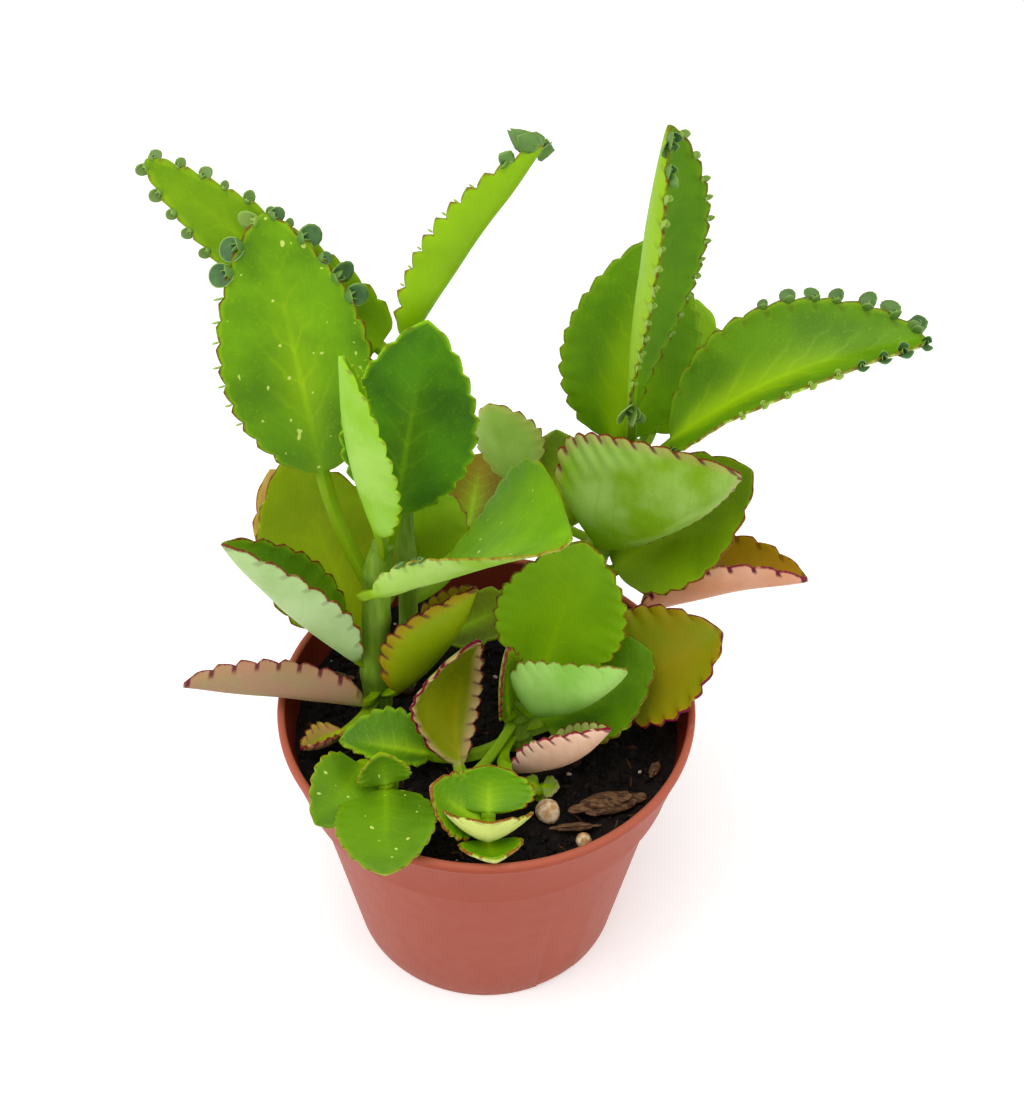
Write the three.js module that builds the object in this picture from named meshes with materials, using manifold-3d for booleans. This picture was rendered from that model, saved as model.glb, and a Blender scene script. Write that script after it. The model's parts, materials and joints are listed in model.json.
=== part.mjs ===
// A potted kalanchoe: three leafy shoots and two rooted plantlets in a small nursery pot.
// Millimetres, +Z up. The origin is the middle of the pot's foot, and +Y runs to the back.
import * as THREE from "three";
import { mergeVertices } from "three/addons/utils/BufferGeometryUtils.js";
import Module from "manifold-3d";

const wasm = await Module();
wasm.setup();

// ---------------------------------------------------------------- driving dimensions
const GAP = 0.3; // clearance between pieces that touch

const POT_HEIGHT = 80;
const RIM_RADIUS = 52.5; // outside of the lip: a 105 mm nursery pot
const RIM_BAND = 20; // height of the collar below the lip
const RIM_FOOT_RADIUS = 48.3;
const BODY_TOP_RADIUS = 46.1;
const BASE_RADIUS = 36.4;
const WALL = 1.3;
const LIP_WIDTH = 1.8;
const FLOOR = 2;
const POT_SIDES = 36;
const DRAIN_HOLES = 6;
const DRAIN_RING_RADIUS = 24;
const DRAIN_RADIUS = 3.5;
const FOOT_NOTCHES = 3;
const FOOT_NOTCH_TURN = -57; // degrees from +X to the notch that shows at the front
const NOTCH_WIDTH = 12;
const NOTCH_HEIGHT = 1.4;

const SOIL_TOP = 70.5;
const SOIL_LUMP = 1.1; // height of the lumps on the soil
const SOIL_SIDES = 22;
const SOIL_RINGS = 4;

const LEAF_EDGE = 0.7; // thickness of a blade at its margin
const LEAF_MIDDLE = 1.5; // thickness of a blade at its midrib
const STALK_HALF_WIDTH = 1.7;
const STALK_THICKNESS = 2.7;
const LARGE_BLADE_ROWS = 6;
const SMALL_BLADE_ROWS = 4;
const TINY_BLADE_ROWS = 3;
const LARGE_BLADE = 30; // length from which a blade counts as large
const TINY_BLADE = 14; // length up to which a blade counts as tiny
const STALK_ROWS = 2;
const INNER_COLUMN = 0.6; // place of the column between midrib and margin
const FOLD = 0.4; // share of a leaf's cup that is a crease at the midrib
const ROUNDNESS = 0.68; // below 1 the blade's ends are blunter than a sine's
const FULLEST = 0.46; // where along the blade a leaf is widest, unless it says otherwise
const TOOTH = 1.1; // from a notch to the point of a tooth, unless a leaf says otherwise
const TEETH_START = 0.03; // the part of the blade's length that carries teeth
const TEETH_SPAN = 0.95;
const TOOTH_POINT = 0.72; // place of a tooth's point between two notches
const NOTCH_SHARE = 0.45; // part of the tooth's height that lies inside the plain outline
const STEM_SIDES = 8;

// ---------------------------------------------------------------- solids and meshes
function solidOf(geometry) {
  const bare = geometry.index ? geometry.toNonIndexed() : geometry.clone();
  bare.deleteAttribute("normal");
  bare.deleteAttribute("uv");
  const merged = mergeVertices(bare, 1e-4);
  return new wasm.Manifold(
    new wasm.Mesh({
      numProp: 3,
      vertProperties: new Float32Array(merged.attributes.position.array),
      triVerts: new Uint32Array(merged.index.array),
    }),
  );
}

function geometryOf(solid) {
  const mesh = solid.getMesh();
  const geometry = new THREE.BufferGeometry();
  geometry.setAttribute("position", new THREE.BufferAttribute(mesh.vertProperties, 3));
  geometry.setIndex(new THREE.BufferAttribute(mesh.triVerts, 1));
  geometry.computeVertexNormals();
  return geometry;
}

// A cut can leave a loose scrap behind: only the largest body is kept.
function largest(solid) {
  const bodies = solid.decompose();
  return bodies.reduce((a, b) => (b.volume() > a.volume() ? b : a));
}

const join = (solids) => solids.reduce((a, b) => a.add(b));
const point = (p) => new THREE.Vector3(p[0], p[1], p[2]);

const plant = new THREE.Group();

function place(name, solid, material) {
  const mesh = new THREE.Mesh(geometryOf(solid), material);
  mesh.name = name;
  plant.add(mesh);
}

// A small repeatable random source, for the plantlets' and stones' variety.
function randomSource(seed) {
  let state = seed;
  return () => {
    state = (state * 1664525 + 1013904223) % 4294967296;
    return state / 4294967296;
  };
}

// ---------------------------------------------------------------- materials
function finish(color, roughness) {
  return new THREE.MeshStandardMaterial({ color, roughness, metalness: 0 });
}

const terracottaPlastic = () => finish(0xb05a4a, 0.45);
const pottingSoil = () => finish(0x1f1714, 0.95);
const bark = () => finish(0x6b4a38, 0.85);
const stone = () => finish(0xd8c9b0, 0.7);
const stemGreen = () => finish(0x7fa845, 0.5);

// Leaf colours, by the side that shows most and by age.
const LEAF_TONES = {
  fresh: 0x62a51c, // young upper face
  deep: 0x3d8a12, // shaded upper face
  pale: 0x9ccb7c, // young underside
  olive: 0x8a9a28, // old upper face
  orange: 0xb87a24, // sun-aged upper face
  pink: 0xd2a596, // old underside
};
const leafFinish = (tone) => finish(LEAF_TONES[tone], 0.45);

// ---------------------------------------------------------------- pot and soil
function turned(profile, sides) {
  const points = profile.map(([r, z]) => new THREE.Vector2(r, z));
  return new THREE.LatheGeometry(points, sides).rotateX(Math.PI / 2);
}

const bandBottom = POT_HEIGHT - RIM_BAND;

function potSolid() {
  const profile = [
    [0, 0],
    [BASE_RADIUS - 1, 0],
    [BASE_RADIUS, 1],
    [BODY_TOP_RADIUS, bandBottom - 0.6],
    [RIM_FOOT_RADIUS, bandBottom],
    [RIM_RADIUS - 0.4, POT_HEIGHT - 0.8],
    [RIM_RADIUS - 0.7, POT_HEIGHT],
    [RIM_RADIUS - LIP_WIDTH, POT_HEIGHT - 0.2],
    [RIM_RADIUS - LIP_WIDTH - 0.4, POT_HEIGHT - 1.4],
    [RIM_FOOT_RADIUS - WALL, bandBottom + 0.8],
    [BODY_TOP_RADIUS - WALL, bandBottom - 0.4],
    [BASE_RADIUS - WALL, FLOOR],
    [0, FLOOR],
  ];
  let pot = solidOf(turned(profile, POT_SIDES));
  for (let i = 0; i < DRAIN_HOLES; i++) {
    const turn = ((i + 0.5) / DRAIN_HOLES) * 2 * Math.PI;
    const drain = new THREE.CylinderGeometry(DRAIN_RADIUS, DRAIN_RADIUS, 4 * FLOOR, 12);
    drain.rotateX(Math.PI / 2).translate(DRAIN_RING_RADIUS, 0, 0).rotateZ(turn);
    pot = pot.subtract(solidOf(drain));
  }
  for (let i = 0; i < FOOT_NOTCHES; i++) {
    const turn = THREE.MathUtils.degToRad(FOOT_NOTCH_TURN + (360 * i) / FOOT_NOTCHES);
    const notch = new THREE.BoxGeometry(NOTCH_WIDTH, NOTCH_WIDTH, 2 * NOTCH_HEIGHT);
    notch.translate(BASE_RADIUS, 0, 0).rotateZ(turn);
    pot = pot.subtract(solidOf(notch));
  }
  return pot;
}

// Radius of the pot's inner face at height z.
function potInside(z) {
  const top = BODY_TOP_RADIUS - WALL;
  const bottom = BASE_RADIUS - WALL;
  if (z < bandBottom) {
    return bottom + ((top - bottom) * (z - FLOOR)) / (bandBottom - 0.4 - FLOOR);
  }
  const foot = RIM_FOOT_RADIUS - WALL;
  const lip = RIM_RADIUS - LIP_WIDTH - 0.4;
  return foot + ((lip - foot) * (z - bandBottom - 0.8)) / (RIM_BAND - 2.2);
}

// Height of the soil's lumpy top above its level, out of a few crossing waves.
function soilLump(x, y) {
  const coarse = Math.sin(0.31 * x + 0.6) * Math.cos(0.27 * y - 0.4);
  const fine = Math.sin(0.83 * x - 0.52 * y) * Math.sin(0.71 * y + 0.35 * x + 1.1);
  return SOIL_LUMP * (0.6 * coarse + 0.4 * fine);
}

function soilSolid() {
  const bottom = FLOOR + GAP;
  const profile = [
    [0, bottom],
    [potInside(bottom) - 1.5 * GAP, bottom],
    [potInside(bandBottom - 2) - 2 * GAP, bandBottom - 2],
    [potInside(bandBottom - 2) - 2 * GAP, bandBottom + 2],
    [potInside(SOIL_TOP) - 3 * GAP, SOIL_TOP],
  ];
  const edge = profile.at(-1)[0];
  for (let i = 1; i <= SOIL_RINGS; i++) {
    profile.push([edge * (1 - i / SOIL_RINGS), SOIL_TOP]);
  }
  const soil = turned(profile, SOIL_SIDES);
  const vertices = soil.attributes.position;
  for (let i = 0; i < vertices.count; i++) {
    if (vertices.getZ(i) < SOIL_TOP - 0.01) continue;
    vertices.setZ(i, SOIL_TOP + soilLump(vertices.getX(i), vertices.getY(i)));
  }
  return solidOf(soil);
}

// ---------------------------------------------------------------- stems
// A stem is a turned rod with swollen joints, bent along a curve.
const STEMS = {
  left: {
    path: [[-28, 5, 59], [-28, 4, 84], [-27, 3, 104], [-26, 4, 118], [-24.5, 5, 127]],
    radii: [3.6, 3.8, 3.3, 3.6, 2.4],
  },
  rear: {
    path: [[-22, 13, 59], [-20.5, 15, 84], [-20.5, 18, 110], [-21, 22, 140], [-21, 24, 164]],
    radii: [2.4, 2.5, 2.3, 2.2, 1.8],
  },
  right: {
    path: [[22, 27, 59], [24, 29, 84], [28, 32, 104], [33, 35, 122], [35, 37, 134]],
    radii: [3.6, 3.8, 3.3, 3.4, 2.4],
  },
  centre: {
    path: [[9, -5, 59], [8.5, -6, 69], [8, -6.5, 75], [8, -6.5, 81], [8, -6.5, 87]],
    radii: [3, 3.4, 3.4, 3, 2],
  },
};

function stemSolid(stem, grow) {
  const curve = new THREE.CatmullRomCurve3(stem.path.map(point));
  const steps = 3 * (stem.radii.length - 1);
  const profile = [new THREE.Vector2(0, 0)];
  for (let i = 0; i <= steps; i++) {
    const at = (i / steps) * (stem.radii.length - 1);
    const k = Math.min(Math.floor(at), stem.radii.length - 2);
    const radius = THREE.MathUtils.lerp(stem.radii[k], stem.radii[k + 1], at - k);
    const swelling = i % 3 === 0 ? 0.35 : 0;
    profile.push(new THREE.Vector2(radius + swelling + grow, i / steps));
  }
  profile.push(new THREE.Vector2(0, 1));
  const rod = new THREE.LatheGeometry(profile, STEM_SIDES);
  const vertices = rod.attributes.position;
  for (let i = 0; i < vertices.count; i++) {
    const along = vertices.getY(i);
    const centre = curve.getPoint(along);
    const tangent = curve.getTangent(along);
    const side = new THREE.Vector3(0, 1, 0).cross(tangent).normalize();
    const back = tangent.clone().cross(side);
    centre.addScaledVector(side, vertices.getZ(i)).addScaledVector(back, vertices.getX(i));
    if (grow && along === 1) centre.addScaledVector(tangent, grow);
    vertices.setXYZ(i, centre.x, centre.y, centre.z);
  }
  return solidOf(rod);
}

// ---------------------------------------------------------------- leaves
// base: place on the stem's axis. neck: where stalk turns to blade. tip: the blade's end.
// face: the way the upper face looks. wide: full width laid flat. cup: how far each
// half turns up, in radians. bow: how far the middle is pushed to the upper face. Where given:
// fullest is the place of the greatest width, blunt (below 0.68) makes the ends rounder, halves
// narrows one half, twist turns the tip about the midrib, in radians, fold is the share of the
// cup that is a crease, and tooth is the size of the teeth. A pair of numbers is for the left
// and the right half.
const LEAVES = [
  // the left shoot
  { name: "left_leaf_tall", stem: "left", base: [-26.5, 3.5, 111], neck: [-38.5, 13, 141.5],
    tip: [-48.5, 28, 199.5], face: [0.1, -0.85, 0.5], wide: 32, cup: 0.25, bow: 1, teeth: 12,
    tone: "fresh", buds: { from: 0.55, to: 0.97, count: 5, size: 3 } },
  { name: "left_leaf_round", stem: "left", base: [-24.5, 5, 124], neck: [-21.5, 8, 134],
    tip: [-13.5, 17, 180.5], face: [0.1, -0.8, 0.6], wide: 29, cup: 0.3, bow: -1, teeth: 10,
    tone: "deep" },
  { name: "left_leaf_narrow", stem: "left", base: [-25, 4, 123], neck: [-25, 0, 135],
    tip: [-29.5, -6, 187], face: [0.95, 0.3, 0.1], wide: 24, cup: 0.9, bow: -2, teeth: 10,
    tone: "pale" },
  { name: "left_leaf_folded", stem: "left", base: [-26.5, 3.5, 112], neck: [-25.5, -6, 121],
    tip: [19, -5, 139], face: [-0.05, 0.97, 0.4], wide: 46, cup: 0.6, bow: -1, twist: 1.2,
    fullest: [0.73, 0.61], blunt: [0.3, 0.4], halves: [1.2, 0.52], teeth: 10, tone: "pale" },
  { name: "left_leaf_low_left", stem: "left", base: [-28, 4, 84], neck: [-33, 2, 91],
    tip: [-59.5, -4, 134], face: [0.6, 0.3, 0.6], wide: 28, cup: 1.4, bow: -2, teeth: 8,
    tone: "pale" },
  { name: "left_leaf_behind", stem: "left", base: [-28, 4, 82], neck: [-32, 12, 90],
    tip: [-50.5, 31, 130], face: [0.2, -0.7, 0.7], wide: 34, cup: 0.3, bow: 1, teeth: 8,
    tone: "olive" },
  { name: "left_leaf_lowest", stem: "left", base: [-28, 4, 79.5], neck: [-31.5, -3, 80],
    tip: [-73, -10, 93], face: [0, 1, 0.4], wide: 17, cup: 1.3, bow: 0, fullest: 0.48, blunt: 0.5, teeth: 8,
    tone: "pink" },
  { name: "left_leaf_low_right", stem: "left", base: [-28, 4, 77], neck: [-22, 0, 82],
    tip: [-3, 3, 115], face: [-0.5, 0.5, 0.8], wide: 30, cup: 1.3, bow: -3, teeth: 8,
    tone: "olive" },
  { name: "left_leaf_far", stem: "left", base: [-28, 4, 80], neck: [-38, 22, 86],
    tip: [-58, 49, 112], face: [-0.2, -0.5, 0.85], wide: 24, cup: 0.4, bow: 2, teeth: 5,
    tone: "pink" },
  { name: "left_leaf_small", stem: "left", base: [-28, 4.5, 75.5], neck: [-35.5, -9, 75.5],
    tip: [-45.5, -15, 76.8], face: [-0.1, 0.4, 0.9], wide: 11, cup: 0.9, bow: -1, teeth: 5,
    tone: "pink" },
  // the rear shoot
  { name: "rear_leaf_arching", stem: "rear", base: [-21, 24, 160], neck: [-25.5, 28, 166],
    tip: [-74.5, 38, 206], face: [-0.45, -0.5, 0.7], wide: 17, cup: 0.3, bow: -0.5,
    fullest: 0.3, blunt: 0.5, teeth: 12, tone: "fresh",
    buds: { from: 0.6, to: 0.97, count: 5, size: 2.4 } },
  { name: "rear_leaf_upright", stem: "rear", base: [-21, 24, 161], neck: [-18.5, 22, 173],
    tip: [10, 24, 218.5], face: [-0.6, 0.75, 0.3], wide: 16, cup: 1, bow: 0.7, tooth: 1.7, teeth: 11,
    tone: "fresh", buds: { from: 0.7, to: 0.99, count: 5, size: 2.8 } },
  { name: "rear_leaf_back", stem: "rear", base: [-21, 18, 100], neck: [-17, 24, 101],
    tip: [-16, 31, 126], face: [0.1, 0.8, -0.1], wide: 21, cup: 0.4, bow: -1, teeth: 6,
    tone: "pale" },
  { name: "rear_leaf_brown", stem: "rear", base: [-21, 17, 96], neck: [-6, 41, 100],
    tip: [-3, 61, 109], face: [0, -0.7, 0.7], wide: 20, cup: 0.4, bow: 1, teeth: 5,
    tone: "orange" },
  { name: "rear_leaf_low", stem: "rear", base: [-20.5, 15, 78], neck: [-12, 20, 80.5],
    tip: [9, 28, 88], face: [-0.3, -0.4, 0.9], wide: 15, cup: 0.5, bow: -1, teeth: 5,
    tone: "olive" },
  // the right shoot
  { name: "right_leaf_upright", stem: "right", base: [33, 35, 122], neck: [30, 39, 132.5],
    tip: [37, 54, 180], face: [0, -0.85, 0.5], wide: 32, cup: 0.25, bow: 2, teeth: 11,
    tone: "deep" },
  { name: "right_leaf_folded", stem: "right", base: [34, 36, 130], neck: [33, 27, 149],
    tip: [36, 26, 222], face: [0.7, -0.6, 0.2], wide: 25, cup: 1.2, bow: -2, fullest: 0.64, teeth: 14,
    tone: "fresh", buds: { from: 0.3, to: 0.97, count: 8, size: 1.8 } },
  { name: "right_leaf_rear", stem: "right", base: [34, 36, 128], neck: [39.5, 43, 132],
    tip: [50, 61, 159], face: [-0.1, -0.8, 0.6], wide: 27, cup: 0.3, bow: 1, teeth: 8,
    tone: "fresh" },
  { name: "right_leaf_arching", stem: "right", base: [34, 36, 127], neck: [43, 25, 142.5],
    tip: [97.5, 26, 172], face: [-0.35, -0.15, 0.9], wide: 34, cup: 0.85, bow: 6, teeth: 12,
    tone: "fresh", buds: { from: 0.6, to: 0.98, count: 6, size: 2.4 } },
  { name: "right_leaf_shell", stem: "right", base: [29, 33, 108], neck: [27.5, 21, 113],
    tip: [57.6, 12, 144], face: [-0.31, 0.95, -0.1], wide: 57, cup: 0.8, bow: -3,
    fullest: 0.3, halves: [0.5, 1], teeth: 11, tone: "pale" },
  { name: "right_leaf_lower", stem: "right", base: [27, 31, 98], neck: [32.5, 28, 98.5],
    tip: [64.5, 33, 128], face: [-0.3, -0.5, 0.8], wide: 34, cup: 0.4, bow: 1, teeth: 8,
    tone: "deep" },
  { name: "right_leaf_orange", stem: "right", base: [24, 29, 82], neck: [39.5, 26, 85.5],
    tip: [80.5, 22, 102], face: [-0.2, 0.35, 0.9], wide: 33, cup: 1.2, bow: 1, teeth: 8,
    tone: "orange" },
  { name: "right_leaf_left", stem: "right", base: [28, 32, 104], neck: [6.5, 44, 114],
    tip: [-0.9, 49, 135], face: [0.2, 0.8, 0.1], wide: 20, cup: 0.7, bow: -1, teeth: 7,
    tone: "pale" },
  { name: "right_leaf_back", stem: "right", base: [27.5, 31.5, 101], neck: [18, 43, 99],
    tip: [16.5, 57, 121], face: [0, -0.6, 0.8], wide: 20, cup: 0.3, bow: 1, teeth: 5,
    tone: "olive" },
  // the centre rosette
  { name: "centre_leaf_upright", stem: "centre", base: [8, -6.5, 86], neck: [13.5, -0.5, 88],
    tip: [23, 10, 124], face: [0, -0.8, 0.6], wide: 31, cup: 0.3, bow: -2, teeth: 10,
    tone: "fresh" },
  { name: "centre_leaf_right", stem: "centre", base: [8, -6.5, 77.5], neck: [14, -7, 79],
    tip: [40.6, 3, 94], face: [-0.3, -0.3, 0.9], wide: 32, cup: 0.5, bow: -2, blunt: 0.52, teeth: 8,
    tone: "deep" },
  { name: "centre_leaf_shell", stem: "centre", base: [8, -6.5, 84.5], neck: [12, -12, 87.5],
    tip: [32.5, -17, 109], face: [-0.3, 0.93, 0], wide: 29, cup: 0.9, bow: -3,
    fullest: 0.27, halves: [0.7, 1], teeth: 8, tone: "pale" },
  { name: "centre_leaf_left", stem: "centre", base: [8, -6.5, 83.2], neck: [5, -10.3, 85],
    tip: [5.5, -9, 107], face: [0.85, -0.5, 0.2], wide: 18, cup: 0.7, bow: -1, halves: [0.7, 0.55], teeth: 8,
    tone: "pale" },
  { name: "centre_leaf_near", stem: "centre", base: [8, -6.5, 74.5], neck: [8, -22.5, 79],
    tip: [29, -24.5, 97], face: [-0.4, 0.7, 0.6], wide: 23, cup: 1, bow: -3, teeth: 8,
    tone: "pink" },
  { name: "centre_leaf_cupped", stem: "centre", base: [8, -6.5, 80.5], neck: [-6.5, -20, 77.5],
    tip: [-1.5, -4, 104], face: [0.55, -0.75, 0.3], wide: 38, cup: 0.8, bow: -6,
    fullest: 0.5, fold: 0.1, halves: [1, 0.3], teeth: 8,
    tone: "olive" },
  { name: "centre_leaf_low_left", stem: "centre", base: [8, -6.5, 73.4], neck: [-14, -15.5, 75.3],
    tip: [-35.9, -15, 79], face: [0.1, -0.3, 0.92], wide: 18, cup: 0.5, bow: 1, halves: [0.45, 1], teeth: 7,
    tone: "pale" },
  { name: "centre_leaf_low_right", stem: "centre", base: [8, -6.5, 73], neck: [30, 2, 77.5],
    tip: [58, 7, 97.5], face: [-0.2, -0.35, 0.9], wide: 33, cup: 0.6, bow: -1, teeth: 8,
    tone: "orange" },
];

// The two young plants that rooted at the front, each one body with its short stem.
const PLANTLETS = [
  { name: "front_left_plantlet", tone: "fresh",
    stem: { path: [[-23, -22, 60], [-23, -24, 74], [-23, -28, 84]], radii: [1.8, 2, 1.4] },
    leaves: [
      { base: [-23, -26.5, 80], neck: [-22.8, -33, 82.5], tip: [-21, -57, 83.5],
        face: [0, -0.2, 1], wide: 21.5, cup: 0.15, bow: 1, blunt: 0.55, teeth: 8, tooth: 0.6 },
      { base: [-23, -26, 79], neck: [-29.5, -26.5, 83], tip: [-38.4, -43, 82.5],
        face: [0.5, -0.2, 0.85], wide: 17, cup: 0.5, bow: 2, teeth: 7, tooth: 0.7 },
      { base: [-23, -28, 82], neck: [-22.8, -32, 84.5], tip: [-24, -30, 92.5],
        face: [0.1, -0.85, 0.5], wide: 12, cup: 0.7, bow: -0.5, blunt: 0.5, teeth: 5, tooth: 0.6 },
    ] },
  { name: "front_plantlet", tone: "fresh",
    stem: { path: [[1, -35, 60], [1, -37, 72], [1.3, -38, 80]], radii: [1.8, 2, 1.4] },
    leaves: [
      { base: [1.3, -38, 79], neck: [1.3, -37, 80.3], tip: [1.5, -28.5, 87.5],
        face: [0.05, -0.75, 0.65], wide: 20, cup: 0.3, bow: -1, blunt: 0.5, teeth: 6, tooth: 0.7 },
      { base: [1.3, -38, 79], neck: [1.3, -40, 79.5], tip: [1.6, -46.5, 89],
        face: [0, 0.75, 0.6], wide: 22, cup: 0.8, bow: -3, blunt: 0.4, teeth: 6, tooth: 0.7 },
      { base: [1.2, -37.5, 76], neck: [-1, -38, 78.5], tip: [-11.5, -37.5, 90.5],
        face: [0.6, -0.3, 0.7], wide: 15, cup: 0.5, bow: -1.5, blunt: 0.5, teeth: 6 },
      { base: [1.1, -37, 74], neck: [1.5, -43, 77.5], tip: [3.2, -51.8, 82.5],
        face: [0, 0.3, 0.95], wide: 14, cup: 0.5, bow: -1, blunt: 0.5, teeth: 5, tooth: 0.7 },
    ] },
  { name: "seedling", tone: "pale",
    stem: { path: [[13.6, -24, 64], [13.6, -24, 70], [13.6, -24, 74]], radii: [0.9, 0.9, 0.7] },
    leaves: [
      { base: [13.6, -24, 73], neck: [14.6, -24, 73.8], tip: [18, -24.5, 75.5],
        face: [-0.4, -0.1, 1], wide: 4, cup: 0.3, bow: 0, teeth: 3, tooth: 0.4 },
      { base: [13.6, -24, 73], neck: [12.6, -24, 73.8], tip: [9.5, -23.5, 76],
        face: [0.4, -0.1, 1], wide: 4, cup: 0.3, bow: 0, teeth: 3, tooth: 0.4 },
    ] },
];

// Width of one half of a blade, laid flat, at t = 0 (neck) to 1 (tip), without its teeth.
// side is -1 for the left half and 1 for the right half.
function halfBlade(leaf, t, side) {
  const own = (value) => (Array.isArray(value) ? value[side < 0 ? 0 : 1] : value);
  const lean = Math.log(0.5) / Math.log(own(leaf.fullest ?? FULLEST));
  const round = Math.pow(Math.sin(Math.PI * Math.pow(t, lean)), own(leaf.blunt ?? ROUNDNESS));
  return STALK_HALF_WIDTH * (1 - t) + own(leaf.halves ?? 1) * (leaf.wide / 2) * round;
}

// The midrib, as a function of t: -1 (base) to 0 (neck) to 1 (tip).
function midribOf(leaf) {
  const [base, neck, tip] = [leaf.base, leaf.neck, leaf.tip].map(point);
  const look = point(leaf.face).normalize();
  const chord = tip.clone().sub(neck);
  const lift = look.clone().addScaledVector(chord, -look.dot(chord) / chord.lengthSq());
  const belly = neck.clone().add(tip).multiplyScalar(0.5);
  belly.addScaledVector(lift.normalize(), 2 * leaf.bow);
  const blade = new THREE.QuadraticBezierCurve3(neck, belly, tip);
  const lead = blade.getTangent(0).multiplyScalar(-0.5 * neck.distanceTo(base));
  const stalk = new THREE.QuadraticBezierCurve3(base, neck.clone().add(lead), neck);
  return (t) => {
    const curve = t < 0 ? stalk : blade;
    const at = t < 0 ? t + 1 : Math.min(t, 1);
    const along = curve.getTangent(at);
    const up = look.clone().addScaledVector(along, -look.dot(along)).normalize();
    up.applyAxisAngle(along, (leaf.twist ?? 0) * Math.max(t, 0));
    return { centre: curve.getPoint(at), along, up, across: along.clone().cross(up) };
  };
}

// A point of the blade's middle surface at t, a flat distance out from the midrib
// (negative to the left), and the surface's normal there.
function bladePoint(leaf, midrib, t, out, half) {
  const { centre, up, across } = midrib(t);
  const cup = leaf.cup * THREE.MathUtils.smoothstep(t, -0.4, 0.3);
  const crease = cup * (leaf.fold ?? FOLD);
  const bend = Math.max((cup - crease) / half, 1e-4);
  const reach = Math.abs(out);
  const side = Math.sign(out);
  const turn = crease + bend * reach;
  const sideways = (Math.sin(turn) - Math.sin(crease)) / bend;
  const rise = (Math.cos(crease) - Math.cos(turn)) / bend;
  centre.addScaledVector(across, side * sideways).addScaledVector(up, rise);
  const slope = out === 0 ? 0 : turn;
  const normal = up.clone().multiplyScalar(Math.cos(slope));
  normal.addScaledVector(across, -side * Math.sin(slope));
  return { centre, normal };
}

// The margin of one half: saw teeth that lean towards the tip.
function marginOf(leaf, length, side) {
  const depth = leaf.tooth ?? TOOTH;
  const places = [];
  const add = (t, push) => {
    const half = halfBlade(leaf, t, side);
    const growth = halfBlade(leaf, t + 0.005, side) - halfBlade(leaf, t - 0.005, side);
    const slope = growth / 0.01 / length;
    const norm = Math.hypot(1, slope);
    places.push({ t: t - (push * slope) / norm / length, half: half + push / norm });
  };
  for (let i = 0; i < leaf.teeth; i++) {
    const pitch = TEETH_SPAN / leaf.teeth;
    add(TEETH_START + pitch * i, -NOTCH_SHARE * depth);
    add(TEETH_START + pitch * (i + TOOTH_POINT), (1 - NOTCH_SHARE) * depth);
  }
  return places;
}

function bladeRowsOf(length) {
  if (length < TINY_BLADE) return TINY_BLADE_ROWS;
  return length < LARGE_BLADE ? SMALL_BLADE_ROWS : LARGE_BLADE_ROWS;
}

function leafGeometry(leaf) {
  const midrib = midribOf(leaf);
  const length = point(leaf.neck).distanceTo(point(leaf.tip));
  const thickness = (t, share) => {
    const stalk = THREE.MathUtils.lerp(STALK_THICKNESS, 1.3, share);
    const blade = THREE.MathUtils.lerp(LEAF_MIDDLE, LEAF_EDGE, Math.pow(share, 1.5));
    return THREE.MathUtils.lerp(stalk, blade, THREE.MathUtils.smoothstep(t, -0.25, 0.25));
  };
  const positions = [];
  const vertex = (t, out, half, share) => {
    const { centre, normal } = bladePoint(leaf, midrib, t, out, Math.max(half, 0.5));
    const lift = thickness(t, share) / 2;
    positions.push(centre.clone().addScaledVector(normal, lift).toArray());
    positions.push(centre.clone().addScaledVector(normal, -lift).toArray());
    return { t, index: positions.length - 2 };
  };
  const rows = [];
  for (let i = 0; i < STALK_ROWS; i++) rows.push(-1 + i / STALK_ROWS);
  const bladeRows = bladeRowsOf(length);
  for (let i = 0; i < bladeRows; i++) rows.push(0.06 + (0.88 * i) / (bladeRows - 1));
  const halfAt = (t, side) => (t < 0 ? STALK_HALF_WIDTH : halfBlade(leaf, t, side));
  const tip = vertex(1, 0, 1, 1);
  const inner = [-INNER_COLUMN, 0, INNER_COLUMN].map((share) => {
    const column = rows.map((t) => {
      const half = halfAt(t, Math.sign(share));
      return vertex(t, share * half, half, Math.abs(share));
    });
    return [...column, tip];
  });
  const margins = [-1, 1].map((side) => {
    const stalk = rows.filter((t) => t < 0).map((t) => ({ t, half: STALK_HALF_WIDTH }));
    const edge = [...stalk, ...marginOf(leaf, length, side)];
    return [...edge.map(({ t, half }) => vertex(t, side * half, half, 1)), tip];
  });
  const chains = [margins[0], ...inner, margins[1]];
  const triangles = [];
  const skin = (a, b, c) => {
    if (a === b || b === c || a === c) return;
    triangles.push([a, b, c], [c + 1, b + 1, a + 1]);
  };
  for (let k = 0; k < chains.length - 1; k++) {
    const [left, right] = [chains[k], chains[k + 1]];
    let i = 0;
    let j = 0;
    while (i < left.length - 1 || j < right.length - 1) {
      const nextLeft = i < left.length - 1 ? left[i + 1].t : Infinity;
      const nextRight = j < right.length - 1 ? right[j + 1].t : Infinity;
      if (nextLeft <= nextRight) {
        skin(left[i].index, right[j].index, left[i + 1].index);
        i++;
      } else {
        skin(left[i].index, right[j].index, right[j + 1].index);
        j++;
      }
    }
  }
  const rim = [
    ...chains.map((chain) => chain[0].index),
    ...margins[1].slice(1).map((place) => place.index),
    ...margins[0].slice(1, -1).reverse().map((place) => place.index),
  ];
  rim.forEach((p, i) => {
    const q = rim[(i + 1) % rim.length];
    triangles.push([q, p, p + 1], [q, p + 1, q + 1]);
  });
  const geometry = new THREE.BufferGeometry();
  const flat = new Float32Array(positions.flat());
  geometry.setAttribute("position", new THREE.BufferAttribute(flat, 3));
  geometry.setIndex(triangles.flat());
  return geometry;
}

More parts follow.
